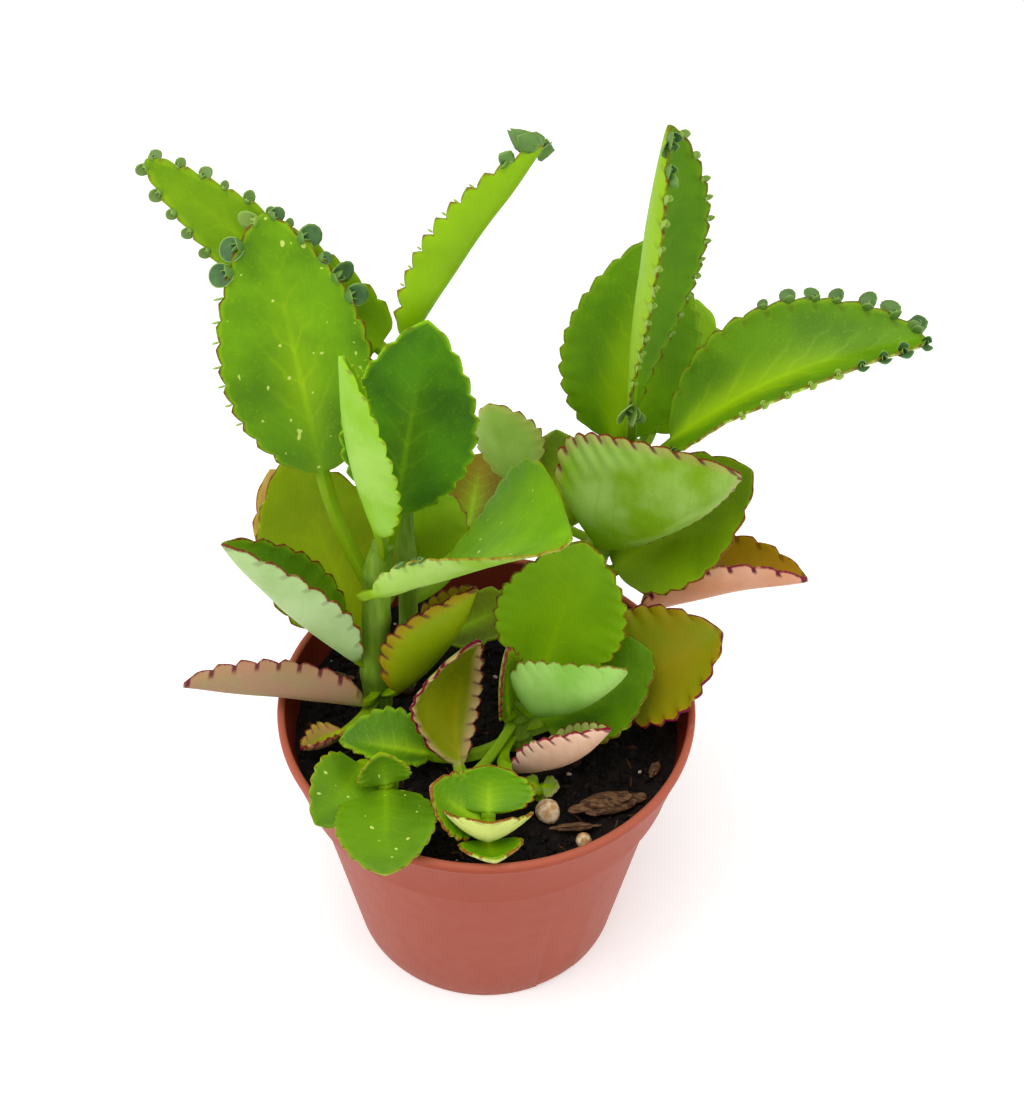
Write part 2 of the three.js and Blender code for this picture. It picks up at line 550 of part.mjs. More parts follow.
// ---------------------------------------------------------------- plantlets on a margin
// Each is a pair of small round leaves on a stub, rooted in a notch between two teeth.
function budSolids(leaf) {
  const { from, to, count, size } = leaf.buds;
  const random = randomSource(7 + leaf.teeth);
  const midrib = midribOf(leaf);
  const buds = [];
  for (const side of [-1, 1]) {
    for (let i = 0; i < count; i++) {
      const t = THREE.MathUtils.lerp(from, to, (i + 0.3 * random()) / (count - 0.7));
      const half = halfBlade(leaf, t, side);
      const { centre } = bladePoint(leaf, midrib, t, side * (half - 0.4), half);
      const outer = bladePoint(leaf, midrib, t, side * (half + 1), half).centre;
      const out = outer.sub(centre).normalize();
      const { along, up } = midrib(t);
      const radius = size * (0.75 + 0.35 * random()) * (0.7 + 0.3 * (t - from));
      for (const spread of size > 2.5 ? [-1, 1] : [0]) {
        const disc = new THREE.SphereGeometry(1, 5, 2);
        const aim = out.clone().addScaledVector(up, 0.5 * spread).normalize();
        const flat = up.clone().addScaledVector(aim, -up.dot(aim)).normalize();
        const wide = flat.clone().cross(aim);
        const middle = centre.clone().addScaledVector(aim, 0.7 * radius);
        const frame = new THREE.Matrix4().makeBasis(
          wide.multiplyScalar(0.85 * radius),
          flat.multiplyScalar(0.6),
          aim.multiplyScalar(radius),
        );
        middle.addScaledVector(along, 0.3 * spread);
        frame.setPosition(middle);
        disc.applyMatrix4(frame);
        buds.push(solidOf(disc));
      }
    }
  }
  return buds;
}

// ---------------------------------------------------------------- pieces on the soil
// Each lies in a hollow of its own shape, so the soil is cut by a slightly larger copy.
const barkOutline = [[-10, -1.5], [-6, -3.4], [2, -2.8], [9, -3.4], [10.5, 0], [6, 2.6], [-8, 2.4]];

function barkGeometry(length, thick) {
  const size = length / 20;
  const outline = new THREE.Shape(barkOutline.map(([x, y]) => new THREE.Vector2(x * size, y * size)));
  const chip = new THREE.ExtrudeGeometry(outline, { depth: thick, bevelEnabled: false });
  return chip.translate(0, 0, -thick / 2);
}

const SOIL_PIECES = [
  { name: "bark_chip", shape: barkGeometry(20, 3.4), at: [30, -27, 72.2], turn: 0.35, tilt: 0.12,
    material: bark },
  { name: "bark_crumb", shape: barkGeometry(7, 2.6), at: [42, -16, 72], turn: 1.2, tilt: 0.2,
    material: bark },
  { name: "bark_splinter", shape: barkGeometry(12, 2), at: [-41, 13, 71.6], turn: 0.1, tilt: 0.1,
    material: bark },
  { name: "round_stone", shape: new THREE.IcosahedronGeometry(3.1, 0), at: [15.5, -30, 72.4],
    turn: 0, tilt: 0, material: stone },
  { name: "pale_stone", shape: new THREE.IcosahedronGeometry(2, 0), at: [24, -38, 71.8],
    turn: 0, tilt: 0, material: stone },
  { name: "twig", shape: new THREE.CylinderGeometry(0.9, 1.1, 13, 6).rotateZ(Math.PI / 2),
    at: [22, -34, 71.8], turn: 0.15, tilt: 0.04, material: bark },
];

function soilPiece(piece, grow) {
  const shape = piece.shape.clone();
  shape.computeBoundingBox();
  const size = shape.boundingBox.getSize(new THREE.Vector3());
  const larger = (span) => (span + 2 * grow) / span;
  shape.scale(larger(size.x), larger(size.y), larger(size.z));
  shape.rotateY(piece.tilt).rotateZ(piece.turn).translate(...piece.at);
  return solidOf(shape);
}

// ---------------------------------------------------------------- the assembly
place("pot", potSolid(), terracottaPlastic());

let soil = soilSolid();
for (const [name, stem] of Object.entries(STEMS)) {
  place(`${name}_stem`, stemSolid(stem, 0), stemGreen());
  soil = soil.subtract(stemSolid(stem, GAP));
}

for (const leaf of LEAVES) {
  let solid = solidOf(leafGeometry(leaf));
  if (leaf.buds) solid = join([solid, ...budSolids(leaf)]);
  solid = largest(solid.subtract(stemSolid(STEMS[leaf.stem], GAP)));
  place(leaf.name, solid, leafFinish(leaf.tone));
}

for (const plantlet of PLANTLETS) {
  const blades = plantlet.leaves.map((leaf) => solidOf(leafGeometry(leaf)));
  place(plantlet.name, join([stemSolid(plantlet.stem, 0), ...blades]), leafFinish(plantlet.tone));
  soil = soil.subtract(stemSolid(plantlet.stem, GAP));
}

for (const piece of SOIL_PIECES) {
  place(piece.name, soilPiece(piece, 0), piece.material());
  soil = soil.subtract(soilPiece(piece, 2 * GAP));
}
place("soil", largest(soil), pottingSoil());

export default plant;
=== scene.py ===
# %% [markdown]
# # A potted kalanchoe
#
# A kalanchoe of this kind is a fleshy plant. Its leaves are thick, toothed and cupped, and tiny
# plants grow in the notches of their margins. Here it stands in a plastic nursery pot. The packed
# model already holds every leaf, stem and stone as a plain solid at its real size. This lesson
# keeps those places and builds the fine surface of each piece around them.

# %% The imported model
import json
import math
import random

import bmesh
import bpy
from mathutils import Matrix, Quaternion, Vector, noise


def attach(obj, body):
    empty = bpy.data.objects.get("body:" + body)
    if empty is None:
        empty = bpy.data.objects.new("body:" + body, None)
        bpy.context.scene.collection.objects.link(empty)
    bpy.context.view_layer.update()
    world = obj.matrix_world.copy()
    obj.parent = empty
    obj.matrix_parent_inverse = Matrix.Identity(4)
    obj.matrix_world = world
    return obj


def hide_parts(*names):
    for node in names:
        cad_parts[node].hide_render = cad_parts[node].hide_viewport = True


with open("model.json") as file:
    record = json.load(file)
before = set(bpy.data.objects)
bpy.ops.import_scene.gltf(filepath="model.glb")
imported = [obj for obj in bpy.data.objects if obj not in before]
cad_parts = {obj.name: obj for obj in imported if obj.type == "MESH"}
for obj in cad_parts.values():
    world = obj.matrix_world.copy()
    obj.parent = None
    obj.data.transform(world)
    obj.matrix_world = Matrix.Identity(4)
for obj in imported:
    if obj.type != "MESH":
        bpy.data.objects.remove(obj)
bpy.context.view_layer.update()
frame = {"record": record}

SLOTS = {part["node"]: part["material_slot"] for part in frame["record"]["subparts"]}
print("packed pieces:", len(SLOTS))

# %% [markdown]
# ## Units
#
# The plant is described in millimetres, because leaves and stems are small. Blender works in
# metres, so every point is multiplied by MM as it goes into a mesh. Four helpers serve all that
# follows.

# %% Units and small helpers
MM = 0.001


def ramp(value, low, high):
    """0 below low, 1 above high, and a smooth rise between them."""
    share = min(max((value - low) / (high - low), 0), 1)
    return share * share * (3 - 2 * share)


def blend(a, b, share):
    return a + (b - a) * share


def mesh_from(name, bm):
    """A mesh with the faces of bm, which is used up."""
    mesh = bpy.data.meshes.new(name)
    bm.to_mesh(mesh)
    bm.free()
    return mesh


def linked(name, data):
    """A new object that is linked to the scene."""
    made = bpy.data.objects.new(name, data)
    bpy.context.scene.collection.objects.link(made)
    return made


# %% [markdown]
# ## Camera
#
# The photo looks down on the plant at a little over 42 degrees. The camera's place and its three
# directions were worked out from the ellipses of the pot's lip and foot, and the lens from the
# same fit, so the render can be laid over the photo.

# %% Camera
CAMERA_PLACE = Vector((5.62, -254.63, 361.34))
CAMERA_RIGHT = Vector((0.99980, 0.01344, 0.01467))
CAMERA_UP = Vector((-0.01990, 0.67546, 0.73713))
CAMERA_BACK = Vector((0, -0.73728, 0.67559))
FRAME_HEIGHT = 1112  # pixels of the photo's long side
FOCAL_PIXELS = 1500
SENSOR = 36

lens = bpy.data.cameras.new("camera")
lens.sensor_width = SENSOR
lens.lens = SENSOR * FOCAL_PIXELS / FRAME_HEIGHT
camera = linked("camera", lens)
turn = Matrix((CAMERA_RIGHT, CAMERA_UP, CAMERA_BACK)).transposed().to_4x4()
camera.matrix_world = Matrix.Translation(CAMERA_PLACE * MM) @ turn
bpy.context.scene.camera = camera
print("lens, mm:", round(lens.lens, 2))

# %% [markdown]
# ## Light and floor
#
# The photo was taken in a white light tent: light comes from everywhere, a little more from above
# and from both sides, and the floor burns out to white. A white world does most of it. Three large
# soft lamps add the rest, and a faint glow in the floor keeps the contact shadow as weak as it is
# in the photo.

# %% Light and floor
bpy.context.scene.view_settings.view_transform = "Standard"
world = bpy.data.worlds.new("light_tent")
world.use_nodes = True
sky = world.node_tree.nodes["Background"].inputs
sky["Color"].default_value = (1, 1, 1, 1)
sky["Strength"].default_value = 0.62
bpy.context.scene.world = world

# name: place and aim in millimetres, side of the lamp in millimetres, power in watts
LAMPS = {
    "lamp_above": dict(place=(-150, -150, 900), aim=(0, 0, 100), side=700, power=4.6),
    "lamp_left": dict(place=(-650, -250, 350), aim=(0, 0, 80), side=500, power=1.5),
    "lamp_right": dict(place=(650, -200, 350), aim=(0, 0, 80), side=500, power=1.5),
}
for name, spec in LAMPS.items():
    light = bpy.data.lights.new(name, "AREA")
    light.size = spec["side"] * MM
    light.energy = spec["power"]
    lamp = linked(name, light)
    lamp.location = Vector(spec["place"]) * MM
    aim = Vector(spec["aim"]) - Vector(spec["place"])
    lamp.rotation_euler = aim.to_track_quat("-Z", "Y").to_euler()

FLOOR_SIDE = 4000
FLOOR_DROP = 0.1  # the floor lies this far below the foot, so that the two never share a plane
bm = bmesh.new()
bmesh.ops.create_grid(bm, x_segments=1, y_segments=1, size=FLOOR_SIDE / 2 * MM)
floor = linked("floor", mesh_from("floor", bm))
floor.location.z = -FLOOR_DROP * MM
white = bpy.data.materials.new("white_floor")
white.use_nodes = True
paper = white.node_tree.nodes["Principled BSDF"].inputs
paper["Base Color"].default_value = (0.86, 0.855, 0.85, 1)
paper["Roughness"].default_value = 0.9
paper["Emission Color"].default_value = (1, 1, 1, 1)
paper["Emission Strength"].default_value = 0.3
floor.data.materials.append(white)
print("lamps:", len(LAMPS))

# %% [markdown]
# ## Writing finishes as expressions
#
# A finish is a network of nodes. Wiring it by hand hides what it says, so a small class wraps a
# socket: adding or multiplying two of them adds a Math node, and `1 - mask` works as in ordinary
# arithmetic. Colours are mixed by a Mix node, because a Math node would turn them grey. Every
# other node comes from the one method `node`.

# %% Sockets that can be added and multiplied
class Wire:
    """A value that flows through a material's nodes."""

    def __init__(self, tree, socket=None):
        self.tree = tree
        self.socket = socket

    def node(self, kind, settings, inputs, output=0):
        made = self.tree.nodes.new("ShaderNode" + kind)
        for name, value in settings.items():
            setattr(made, name, value)
        for name, value in inputs.items():
            if isinstance(value, Wire):
                self.tree.links.new(value.socket, made.inputs[name])
            else:
                made.inputs[name].default_value = value
        return Wire(self.tree, made.outputs[output])

    def math(self, operation, *values):
        return self.node("Math", {"operation": operation}, dict(enumerate(values)))

    def __add__(self, other):
        return self.math("ADD", self, other)

    __radd__ = __add__

    def __sub__(self, other):
        return self.math("SUBTRACT", self, other)

    def __rsub__(self, other):
        return self.math("SUBTRACT", other, self)

    def __mul__(self, other):
        return self.math("MULTIPLY", self, other)

    __rmul__ = __mul__

    def __abs__(self):
        return self.math("ABSOLUTE", self)

    def fraction(self):
        return self.math("FRACT", self)

    def over(self, low, high):
        """Smooth step: 0 at low and 1 at high; turned round where low is the larger."""
        return self.node("MapRange", {"interpolation_type": "SMOOTHSTEP"},
                         {"Value": self, "From Min": low, "From Max": high})

    def mix(self, share, first, second):
        """first where share is 0, second where it is 1, as colours."""
        return self.node("Mix", {"data_type": "RGBA"}, {0: share, 6: first, 7: second}, 2)

    def attribute(self, name):
        return self.node("Attribute", {"attribute_name": name}, {}, "Fac")

    def place(self, shift=(0, 0, 0), stretch=(1, 1, 1)):
        """Object coordinates in millimetres, shifted and stretched."""
        here = self.node("TexCoord", {}, {}, "Object")
        scale = tuple(1000 * part for part in stretch)
        return self.node("Mapping", {}, {"Vector": here, "Location": shift, "Scale": scale})

    def grain(self, size, detail=3, shift=(0, 0, 0), stretch=(1, 1, 1)):
        """Soft noise from 0 to 1 whose patches are about size millimetres across."""
        where = self.place(shift, stretch)
        return self.node("TexNoise", {}, {"Vector": where, "Scale": 1 / size, "Detail": detail})

    def bump(self, height, depth):
        """A surface that rises by depth millimetres where height is 1."""
        return self.node("Bump", {}, {"Height": height, "Distance": depth * MM, "Strength": 1.0})


def paint(code):
    """The linear colour of an sRGB code such as #7aa010."""
    parts = [int(code[k:k + 2], 16) / 255 for k in (1, 3, 5)]
    return tuple(p / 12.92 if p <= 0.04045 else ((p + 0.055) / 1.055) ** 2.4 for p in parts) + (1,)


def finish(name, changing, **fixed):
    """A material. changing(wire) gives what varies; fixed holds the shader's constants."""
    material = bpy.data.materials.new(name)
    material.use_nodes = True
    tree = material.node_tree
    shader = tree.nodes["Principled BSDF"].inputs
    for socket, value in fixed.items():
        shader[socket.replace("_", " ")].default_value = value
    for socket, wire in changing(Wire(tree)).items():
        tree.links.new(wire.socket, shader[socket])
    return material


# %% [markdown]
# ## From mesh to piece
#
# Each finished mesh becomes an object at the origin that rides with the pot and plant and takes the
# place of its plain solid.

# %% From mesh to piece
def piece(name, bm, material, slot, *nodes, sharp=None):
    mesh = mesh_from(name, bm)
    mesh.shade_smooth()
    if sharp:
        mesh.set_sharp_from_angle(angle=math.radians(sharp))
    mesh.materials.append(material)
    made = linked(name, mesh)
    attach(made, "root")
    if nodes:
        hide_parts(*nodes)
    print(name, "faces:", len(mesh.polygons))


# %% [markdown]
# ## The pot
#
# The real pot is a thin injection-moulded cup: a tapered body, a wider collar with a rounded lip,
# drain holes in its floor and three shallow notches in its foot. It could be joined from cones and
# rings, but a wall profile turned once round the axis gives every ring at once. The ring edges at
# its corners are then bevelled, and the holes and notches cut.

# %% The pot's turned wall
POT_HEIGHT = 80
RIM_RADIUS = 52.5
RIM_BAND = 20
RIM_FOOT_RADIUS = 48.3
BODY_TOP_RADIUS = 46.1
BASE_RADIUS = 36.4
WALL = 1.3
LIP_WIDTH = 1.8
POT_FLOOR = 2
BAND_BOTTOM = POT_HEIGHT - RIM_BAND
POT_STEPS = 144
ROUNDING_STEPS = 3
WELD = 1e-6  # metres: points nearer than this become one
ON_RING = 1e-5  # metres: a point this near to a ring lies on it

# radius and height of each ring, and how far its corner is rounded
POT_RINGS = (
    (BASE_RADIUS, 0, 0.9),
    (BODY_TOP_RADIUS, BAND_BOTTOM - 0.9, 0.3),
    (RIM_FOOT_RADIUS, BAND_BOTTOM, 0.55),
    (RIM_FOOT_RADIUS + 0.25, BAND_BOTTOM + 2.2, 0),
    (RIM_RADIUS - 0.5, POT_HEIGHT - 3.0, 0.3),
    (RIM_RADIUS, POT_HEIGHT - 2.2, 0.4),
    (RIM_RADIUS, POT_HEIGHT, 0.8),
    (RIM_RADIUS - LIP_WIDTH, POT_HEIGHT, 0.7),
    (RIM_RADIUS - LIP_WIDTH - 0.3, POT_HEIGHT - 2, 0.3),
    (RIM_FOOT_RADIUS - WALL, BAND_BOTTOM + 0.8, 0.5),
    (BODY_TOP_RADIUS - WALL, BAND_BOTTOM - 0.4, 0.5),
    (BASE_RADIUS - WALL, POT_FLOOR, 0.9),
)


def turned(rings, steps):
    """A closed body: a profile from the axis out and back, turned once round the Z axis."""
    bm = bmesh.new()
    points = [(0, rings[0][1])] + [ring[:2] for ring in rings] + [(0, rings[-1][1])]
    verts = [bm.verts.new((radius * MM, 0, height * MM)) for radius, height in points]
    edges = [bm.edges.new(pair) for pair in zip(verts, verts[1:])]
    bmesh.ops.spin(bm, geom=verts + edges, axis=(0, 0, 1), cent=(0, 0, 0), angle=2 * math.pi,
                   steps=steps, use_merge=True, use_duplicate=False)
    bmesh.ops.remove_doubles(bm, verts=bm.verts, dist=WELD)
    bmesh.ops.recalc_face_normals(bm, faces=bm.faces)
    return bm


def ring_edges(bm, radius, height):
    """The edges that lie on one ring of a turned body."""
    def on_ring(vert):
        off_radius = Vector((vert.co.x, vert.co.y)).length - radius * MM
        return abs(off_radius) < ON_RING and abs(vert.co.z - height * MM) < ON_RING
    return [edge for edge in bm.edges if all(on_ring(vert) for vert in edge.verts)]


pot_wall = turned(POT_RINGS, POT_STEPS)
for radius, height, rounding in POT_RINGS:
    if rounding:
        bmesh.ops.bevel(pot_wall, geom=ring_edges(pot_wall, radius, height), offset=rounding * MM,
                        offset_type="OFFSET", affect="EDGES", segments=ROUNDING_STEPS,
                        profile=0.5, material=-1)
print("pot wall faces:", len(pot_wall.faces))

# %% Drain holes and foot notches
DRAIN_HOLES = 6
DRAIN_RING_RADIUS = 24
DRAIN_RADIUS = 3.5
DRAIN_SIDES = 32
DRAIN_CUT = 16  # height of the cutters, which reach well past both faces of the floor
FOOT_NOTCHES = 3
FOOT_NOTCH_TURN = -57  # degrees from +X to the notch that shows at the front
NOTCH_WIDTH = 12
NOTCH_HEIGHT = 1.4

cutters = bmesh.new()
for i in range(DRAIN_HOLES):
    spot = Matrix.Rotation(2 * math.pi * (i + 0.5) / DRAIN_HOLES, 4, "Z")
    spot @= Matrix.Translation((DRAIN_RING_RADIUS * MM, 0, 0))
    bmesh.ops.create_cone(cutters, cap_ends=True, segments=DRAIN_SIDES, matrix=spot,
                          radius1=DRAIN_RADIUS * MM, radius2=DRAIN_RADIUS * MM, depth=DRAIN_CUT * MM)
for i in range(FOOT_NOTCHES):
    spot = Matrix.Rotation(math.radians(FOOT_NOTCH_TURN + 360 * i / FOOT_NOTCHES), 4, "Z")
    spot @= Matrix.Translation((BASE_RADIUS * MM, 0, 0))
    spot @= Matrix.Diagonal((NOTCH_WIDTH * MM, NOTCH_WIDTH * MM, 2 * NOTCH_HEIGHT * MM, 1))
    bmesh.ops.create_cube(cutters, size=1, matrix=spot)


def cut(bm, cutters):
    """bm with the cutters' shapes taken out of it."""
    body = linked("cut_body", mesh_from("cut_body", bm))
    tool = linked("cut_tool", mesh_from("cut_tool", cutters))
    saw = body.modifiers.new("cut", "BOOLEAN")
    saw.operation = "DIFFERENCE"
    saw.object = tool
    saw.solver = "EXACT"
    result = bmesh.new()
    result.from_object(body, bpy.context.evaluated_depsgraph_get())
    for used in (body, tool):
        mesh = used.data
        bpy.data.objects.remove(used)
        bpy.data.meshes.remove(mesh)
    return result


pot_body = cut(pot_wall, cutters)
print("pot faces:", len(pot_body.faces))

# %% [markdown]
# The plastic is satin, plain terracotta red, a little paler where the mould left faint vertical
# flow marks, with dust at the foot and fine scuffs. The collar's inner face lies in the plant's
# shade, which is painted into its colour as a darker red. The collar leans outwards, so a place's
# radius less its lean tells the inner face from the outer one.

# %% The pot's finish
COLLAR_LEAN = 0.2  # millimetres outwards for each millimetre up
INNER_FACE = 35.3  # radius less lean, in millimetres: the inner face lies below this
OUTER_FACE = 35.9  # and the outer face above this


def terracotta_plastic(wire):
    flow = wire.grain(9, 2, stretch=(1, 1, 0.12))
    cloud = wire.grain(30, 2, shift=(3, 1, 4))
    speck = wire.grain(0.5, 2)
    x, y, height = (wire.node("SeparateXYZ", {}, {"Vector": wire.place()}, k) for k in "XYZ")
    radius = wire.math("POWER", x * x + y * y, 0.5)
    # painted shade: this mask finds the collar's inner face, which is darkened in colour
    inside = (radius - COLLAR_LEAN * height).over(OUTER_FACE, INNER_FACE)
    inside = inside * height.over(BAND_BOTTOM + 1, BAND_BOTTOM + 3)
    inside = inside * height.over(POT_HEIGHT - 0.4, POT_HEIGHT - 0.9)
    foot_dust = height.over(9, 0.5) * speck.over(0.42, 0.62)
    scuff = wire.grain(0.9, 4, stretch=(0.25, 0.25, 2.5)).over(0.64, 0.74)
    lip_wear = height.over(POT_HEIGHT - 1.5, POT_HEIGHT)
    colour = wire.mix(flow * 0.5 + cloud * 0.5, paint("#933c25"), paint("#a1472e"))
    colour = wire.mix(foot_dust * 0.35, colour, paint("#a88a7c"))
    colour = wire.mix(scuff * 0.18 + lip_wear * 0.2, colour, paint("#cf8a75"))
    colour = wire.mix(speck.over(0.72, 0.78) * 0.35, colour, paint("#7c3a2c"))
    # painted shade: the collar's inner face is mixed towards a dark red
    colour = wire.mix(inside * 0.7, colour, paint("#5a1712"))
    return {"Base Color": colour,
            "Roughness": 0.4 + 0.12 * wire.grain(4, 3) + 0.1 * scuff,
            "Normal": wire.bump(wire.grain(1.2, 3) + flow, 0.03)}


pot_finish = finish("terracotta_plastic", terracotta_plastic, Specular_IOR_Level=0.12)
piece("nursery_pot", pot_body, pot_finish, SLOTS["pot"], "pot", sharp=35)

# %% [markdown]
# ## The soil
#
# Potting soil is a bed of small dark crumbs. The bed itself is a turned body whose top is raised by
# the same crossing waves as the plain solid, with finer noise on top. Lumps, crumbs, fibres and a
# few pale bits lie loose on it: they are coarse balls of 20 faces, because there are hundreds.

# %% The bed of soil
SOIL_TOP = 70.5
SOIL_LUMP = 1.1
SOIL_BOTTOM = 2.3
SOIL_EDGE = 49.2  # radius of the soil's top
SOIL_RINGS = 60
SOIL_RING_STEP = 0.8
SOIL_STEPS = 200
SOIL_GAP = 0.6  # between the soil and the pot's wall
NARROW_FROM = 58  # heights between which the soil keeps clear of the step below the collar
NARROW_TO = 62


def soil_height(x, y):
    """Height of the soil's top at a place, in millimetres."""
    coarse = math.sin(0.31 * x + 0.6) * math.cos(0.27 * y - 0.4)
    fine = math.sin(0.83 * x - 0.52 * y) * math.sin(0.71 * y + 0.35 * x + 1.1)
    crumb = noise.turbulence(Vector((0.4 * x, 0.4 * y, 3)), 4, False) - 0.6
    return SOIL_TOP + SOIL_LUMP * (0.6 * coarse + 0.4 * fine) + 0.9 * crumb


def pot_inside(height):
    """Radius of the pot's inner face at a height."""
    if height < BAND_BOTTOM:
        share = (height - POT_FLOOR) / (BAND_BOTTOM - 0.4 - POT_FLOOR)
        return blend(BASE_RADIUS, BODY_TOP_RADIUS, share) - WALL
    share = (height - BAND_BOTTOM - 0.8) / (RIM_BAND - 2.2)
    return blend(RIM_FOOT_RADIUS - WALL, RIM_RADIUS - LIP_WIDTH - 0.4, share)


soil_narrow = pot_inside(NARROW_FROM) - SOIL_GAP
soil_rings = [(pot_inside(SOIL_BOTTOM) - 2 * SOIL_GAP, SOIL_BOTTOM), (soil_narrow, NARROW_FROM),
              (soil_narrow, NARROW_TO), (SOIL_EDGE - SOIL_GAP / 2, SOIL_TOP - 2.5)]
soil_rings += [(SOIL_EDGE - k * SOIL_RING_STEP, SOIL_TOP) for k in range(SOIL_RINGS)]
soil_bed = turned(soil_rings, SOIL_STEPS)
for vert in soil_bed.verts:
    if vert.co.z > (SOIL_TOP - 0.1) * MM:
        vert.co.z = soil_height(vert.co.x / MM, vert.co.y / MM) * MM
print("soil faces:", len(soil_bed.faces))

# %% Loose crumbs, fibres and pale bits
CHUNKS = 170
CRUMBS = 1500
FIBRES = 130
PALE_BITS = 45
CRUMB_ROUGHNESS = 0.25
CRUMB_WAVES = 900  # dents for each metre
SOIL_SEED = 5
crumb_random = random.Random(SOIL_SEED)
draw = crumb_random.random
noise.seed_set(SOIL_SEED)  # without it noise_vector differs from run to run


def soil_spot(rng, reach=SOIL_EDGE - 1.5):
    """A random place on the soil, even over its round top."""
    radius = reach * math.sqrt(rng.random())
    angle = 2 * math.pi * rng.random()
    return radius * math.cos(angle), radius * math.sin(angle)


def add_crumb(bm, tone, tone_value, size, rng):
    """One lump of 20 faces at a random place and turn; size is its three half widths."""
    x, y = soil_spot(rng)
    tilt = Quaternion((rng.gauss(0, 1), rng.gauss(0, 1), 0.2), 0.35 * rng.random())
    tilt = tilt @ Quaternion((0, 0, 1), 2 * math.pi * rng.random())
    height = soil_height(x, y) + 0.3 * min(size)
    matrix = (Matrix.Translation(Vector((x, y, height)) * MM) @ tilt.to_matrix().to_4x4()
              @ Matrix.Diagonal((size[0] * MM, size[1] * MM, size[2] * MM, 1)))
    made = bmesh.ops.create_icosphere(bm, subdivisions=1, radius=1, matrix=matrix)["verts"]
    for vert in made:
        vert.co += noise.noise_vector(vert.co * CRUMB_WAVES) * CRUMB_ROUGHNESS * min(size) * MM
        vert[tone] = tone_value


crumbs = bmesh.new()
tone = crumbs.verts.layers.float.new("tone")
for _ in range(CHUNKS):
    width = 1.1 + 1.5 * draw() ** 2
    add_crumb(crumbs, tone, 0.15 + 0.4 * draw(), (width, width * (0.5 + 0.4 * draw()), 0.55 * width),
              crumb_random)
for _ in range(CRUMBS):
    width = 0.35 + 1.0 * draw() ** 2
    add_crumb(crumbs, tone, 0.35 * draw(), (width, width * (0.6 + 0.4 * draw()), 0.7 * width),
              crumb_random)
for _ in range(FIBRES):
    length = 1.2 + 2.6 * draw()
    add_crumb(crumbs, tone, 0.45 + 0.3 * draw(), (length, 0.32, 0.28), crumb_random)
for _ in range(PALE_BITS):
    width = 0.3 + 0.5 * draw()
    add_crumb(crumbs, tone, 1, (width, 0.8 * width, 0.7 * width), crumb_random)
print("crumbs:", CHUNKS + CRUMBS + FIBRES + PALE_BITS)


# %% The soil's finish
def soil_colour(wire, tone):
    damp = wire.grain(3, 4)
    dark = wire.mix(damp.over(0.35, 0.7), paint("#080504"), paint("#1b120d"))
    brown = wire.mix(tone.over(0.35, 0.7), dark, paint("#54351f"))
    return wire.mix(tone.over(0.85, 0.95), brown, paint("#c9b59a"))


def potting_soil(wire):
    fibre = wire.grain(0.8, 4, stretch=(0.5, 1, 1)).over(0.62, 0.72) * 0.6
    return {"Base Color": soil_colour(wire, fibre), "Roughness": 0.95 - 0.3 * wire.grain(2, 2),
            "Normal": wire.bump(wire.grain(0.7, 5), 0.7)}


def loose_crumbs(wire):
    return {"Base Color": soil_colour(wire, wire.attribute("tone")),
            "Roughness": 0.95 - 0.25 * wire.grain(1, 2),
            "Normal": wire.bump(wire.grain(0.4, 4), 0.3)}


piece("soil_bed", soil_bed, finish("potting_soil", potting_soil, Specular_IOR_Level=0.2),
      SLOTS["soil"], "soil")
piece("soil_crumbs", crumbs, finish("loose_crumbs", loose_crumbs, Specular_IOR_Level=0.2),
      SLOTS["soil"], "soil")

# %% [markdown]
# ## Bark, stones and a twig
#
# Bark breaks into long flat splinters with a ridged grain, and grit is lumpy and round. Both start
# from a plain primitive that is divided finely and then pushed about by noise: along the splinter
# for the grain, and evenly for a stone.

# %% Bark pieces and stones
# half sizes in millimetres, place, turn and tilt in radians
BARK = {
    "bark_chip": dict(half=(10.3, 3.1, 1.6), at=(30, -27, 72.2), turn=0.35, tilt=0.12),
    "bark_crumb": dict(half=(3.6, 1.2, 1.2), at=(42, -16, 72), turn=1.2, tilt=0.2),
    "bark_splinter": dict(half=(6.1, 1.9, 0.9), at=(-41, 13, 71.6), turn=0.1, tilt=0.1),
    "twig": dict(half=(6.5, 1.0, 1.0), at=(22, -34, 71.8), turn=0.15, tilt=0.04),
}
STONES = {
    "round_stone": dict(radius=3.0, at=(15.5, -30, 72.4)),
    "pale_stone": dict(radius=1.9, at=(24, -38, 71.8)),
}
BARK_CUTS = 15  # across each edge of the cube
STONE_DIVISIONS = 4


def bark_splinter(half):
    bm = bmesh.new()
    bmesh.ops.create_cube(bm, size=2)
    bmesh.ops.subdivide_edges(bm, edges=bm.edges, cuts=BARK_CUTS, use_grid_fill=True)
    for vert in bm.verts:
        x, y, z = vert.co
        round_off = 1 - 0.35 * (x * x * y * y + y * y * z * z + z * z * x * x)
        taper = 1 - 0.3 * abs(x) ** 3
        spot = Vector((x * half[0] * round_off, y * half[1] * taper * round_off,
                       z * half[2] * taper * round_off))
        grain = noise.noise(Vector((0.18 * spot.x, 1.6 * spot.y, 1.6 * spot.z)))
        lump = noise.noise(spot * 0.35)
        outward = Vector((0.2 * x, y, z)).normalized()
        vert.co = (spot + outward * (0.22 * grain + 0.25 * lump) * half[2]) * MM
    return bm


def grit_stone(radius):
    bm = bmesh.new()
    bmesh.ops.create_icosphere(bm, subdivisions=STONE_DIVISIONS, radius=1)
    for vert in bm.verts:
        bulge = 1 + 0.1 * noise.noise(vert.co * 1.4) + 0.03 * noise.noise(vert.co * 5)
        vert.co *= radius * bulge * MM
    return bm


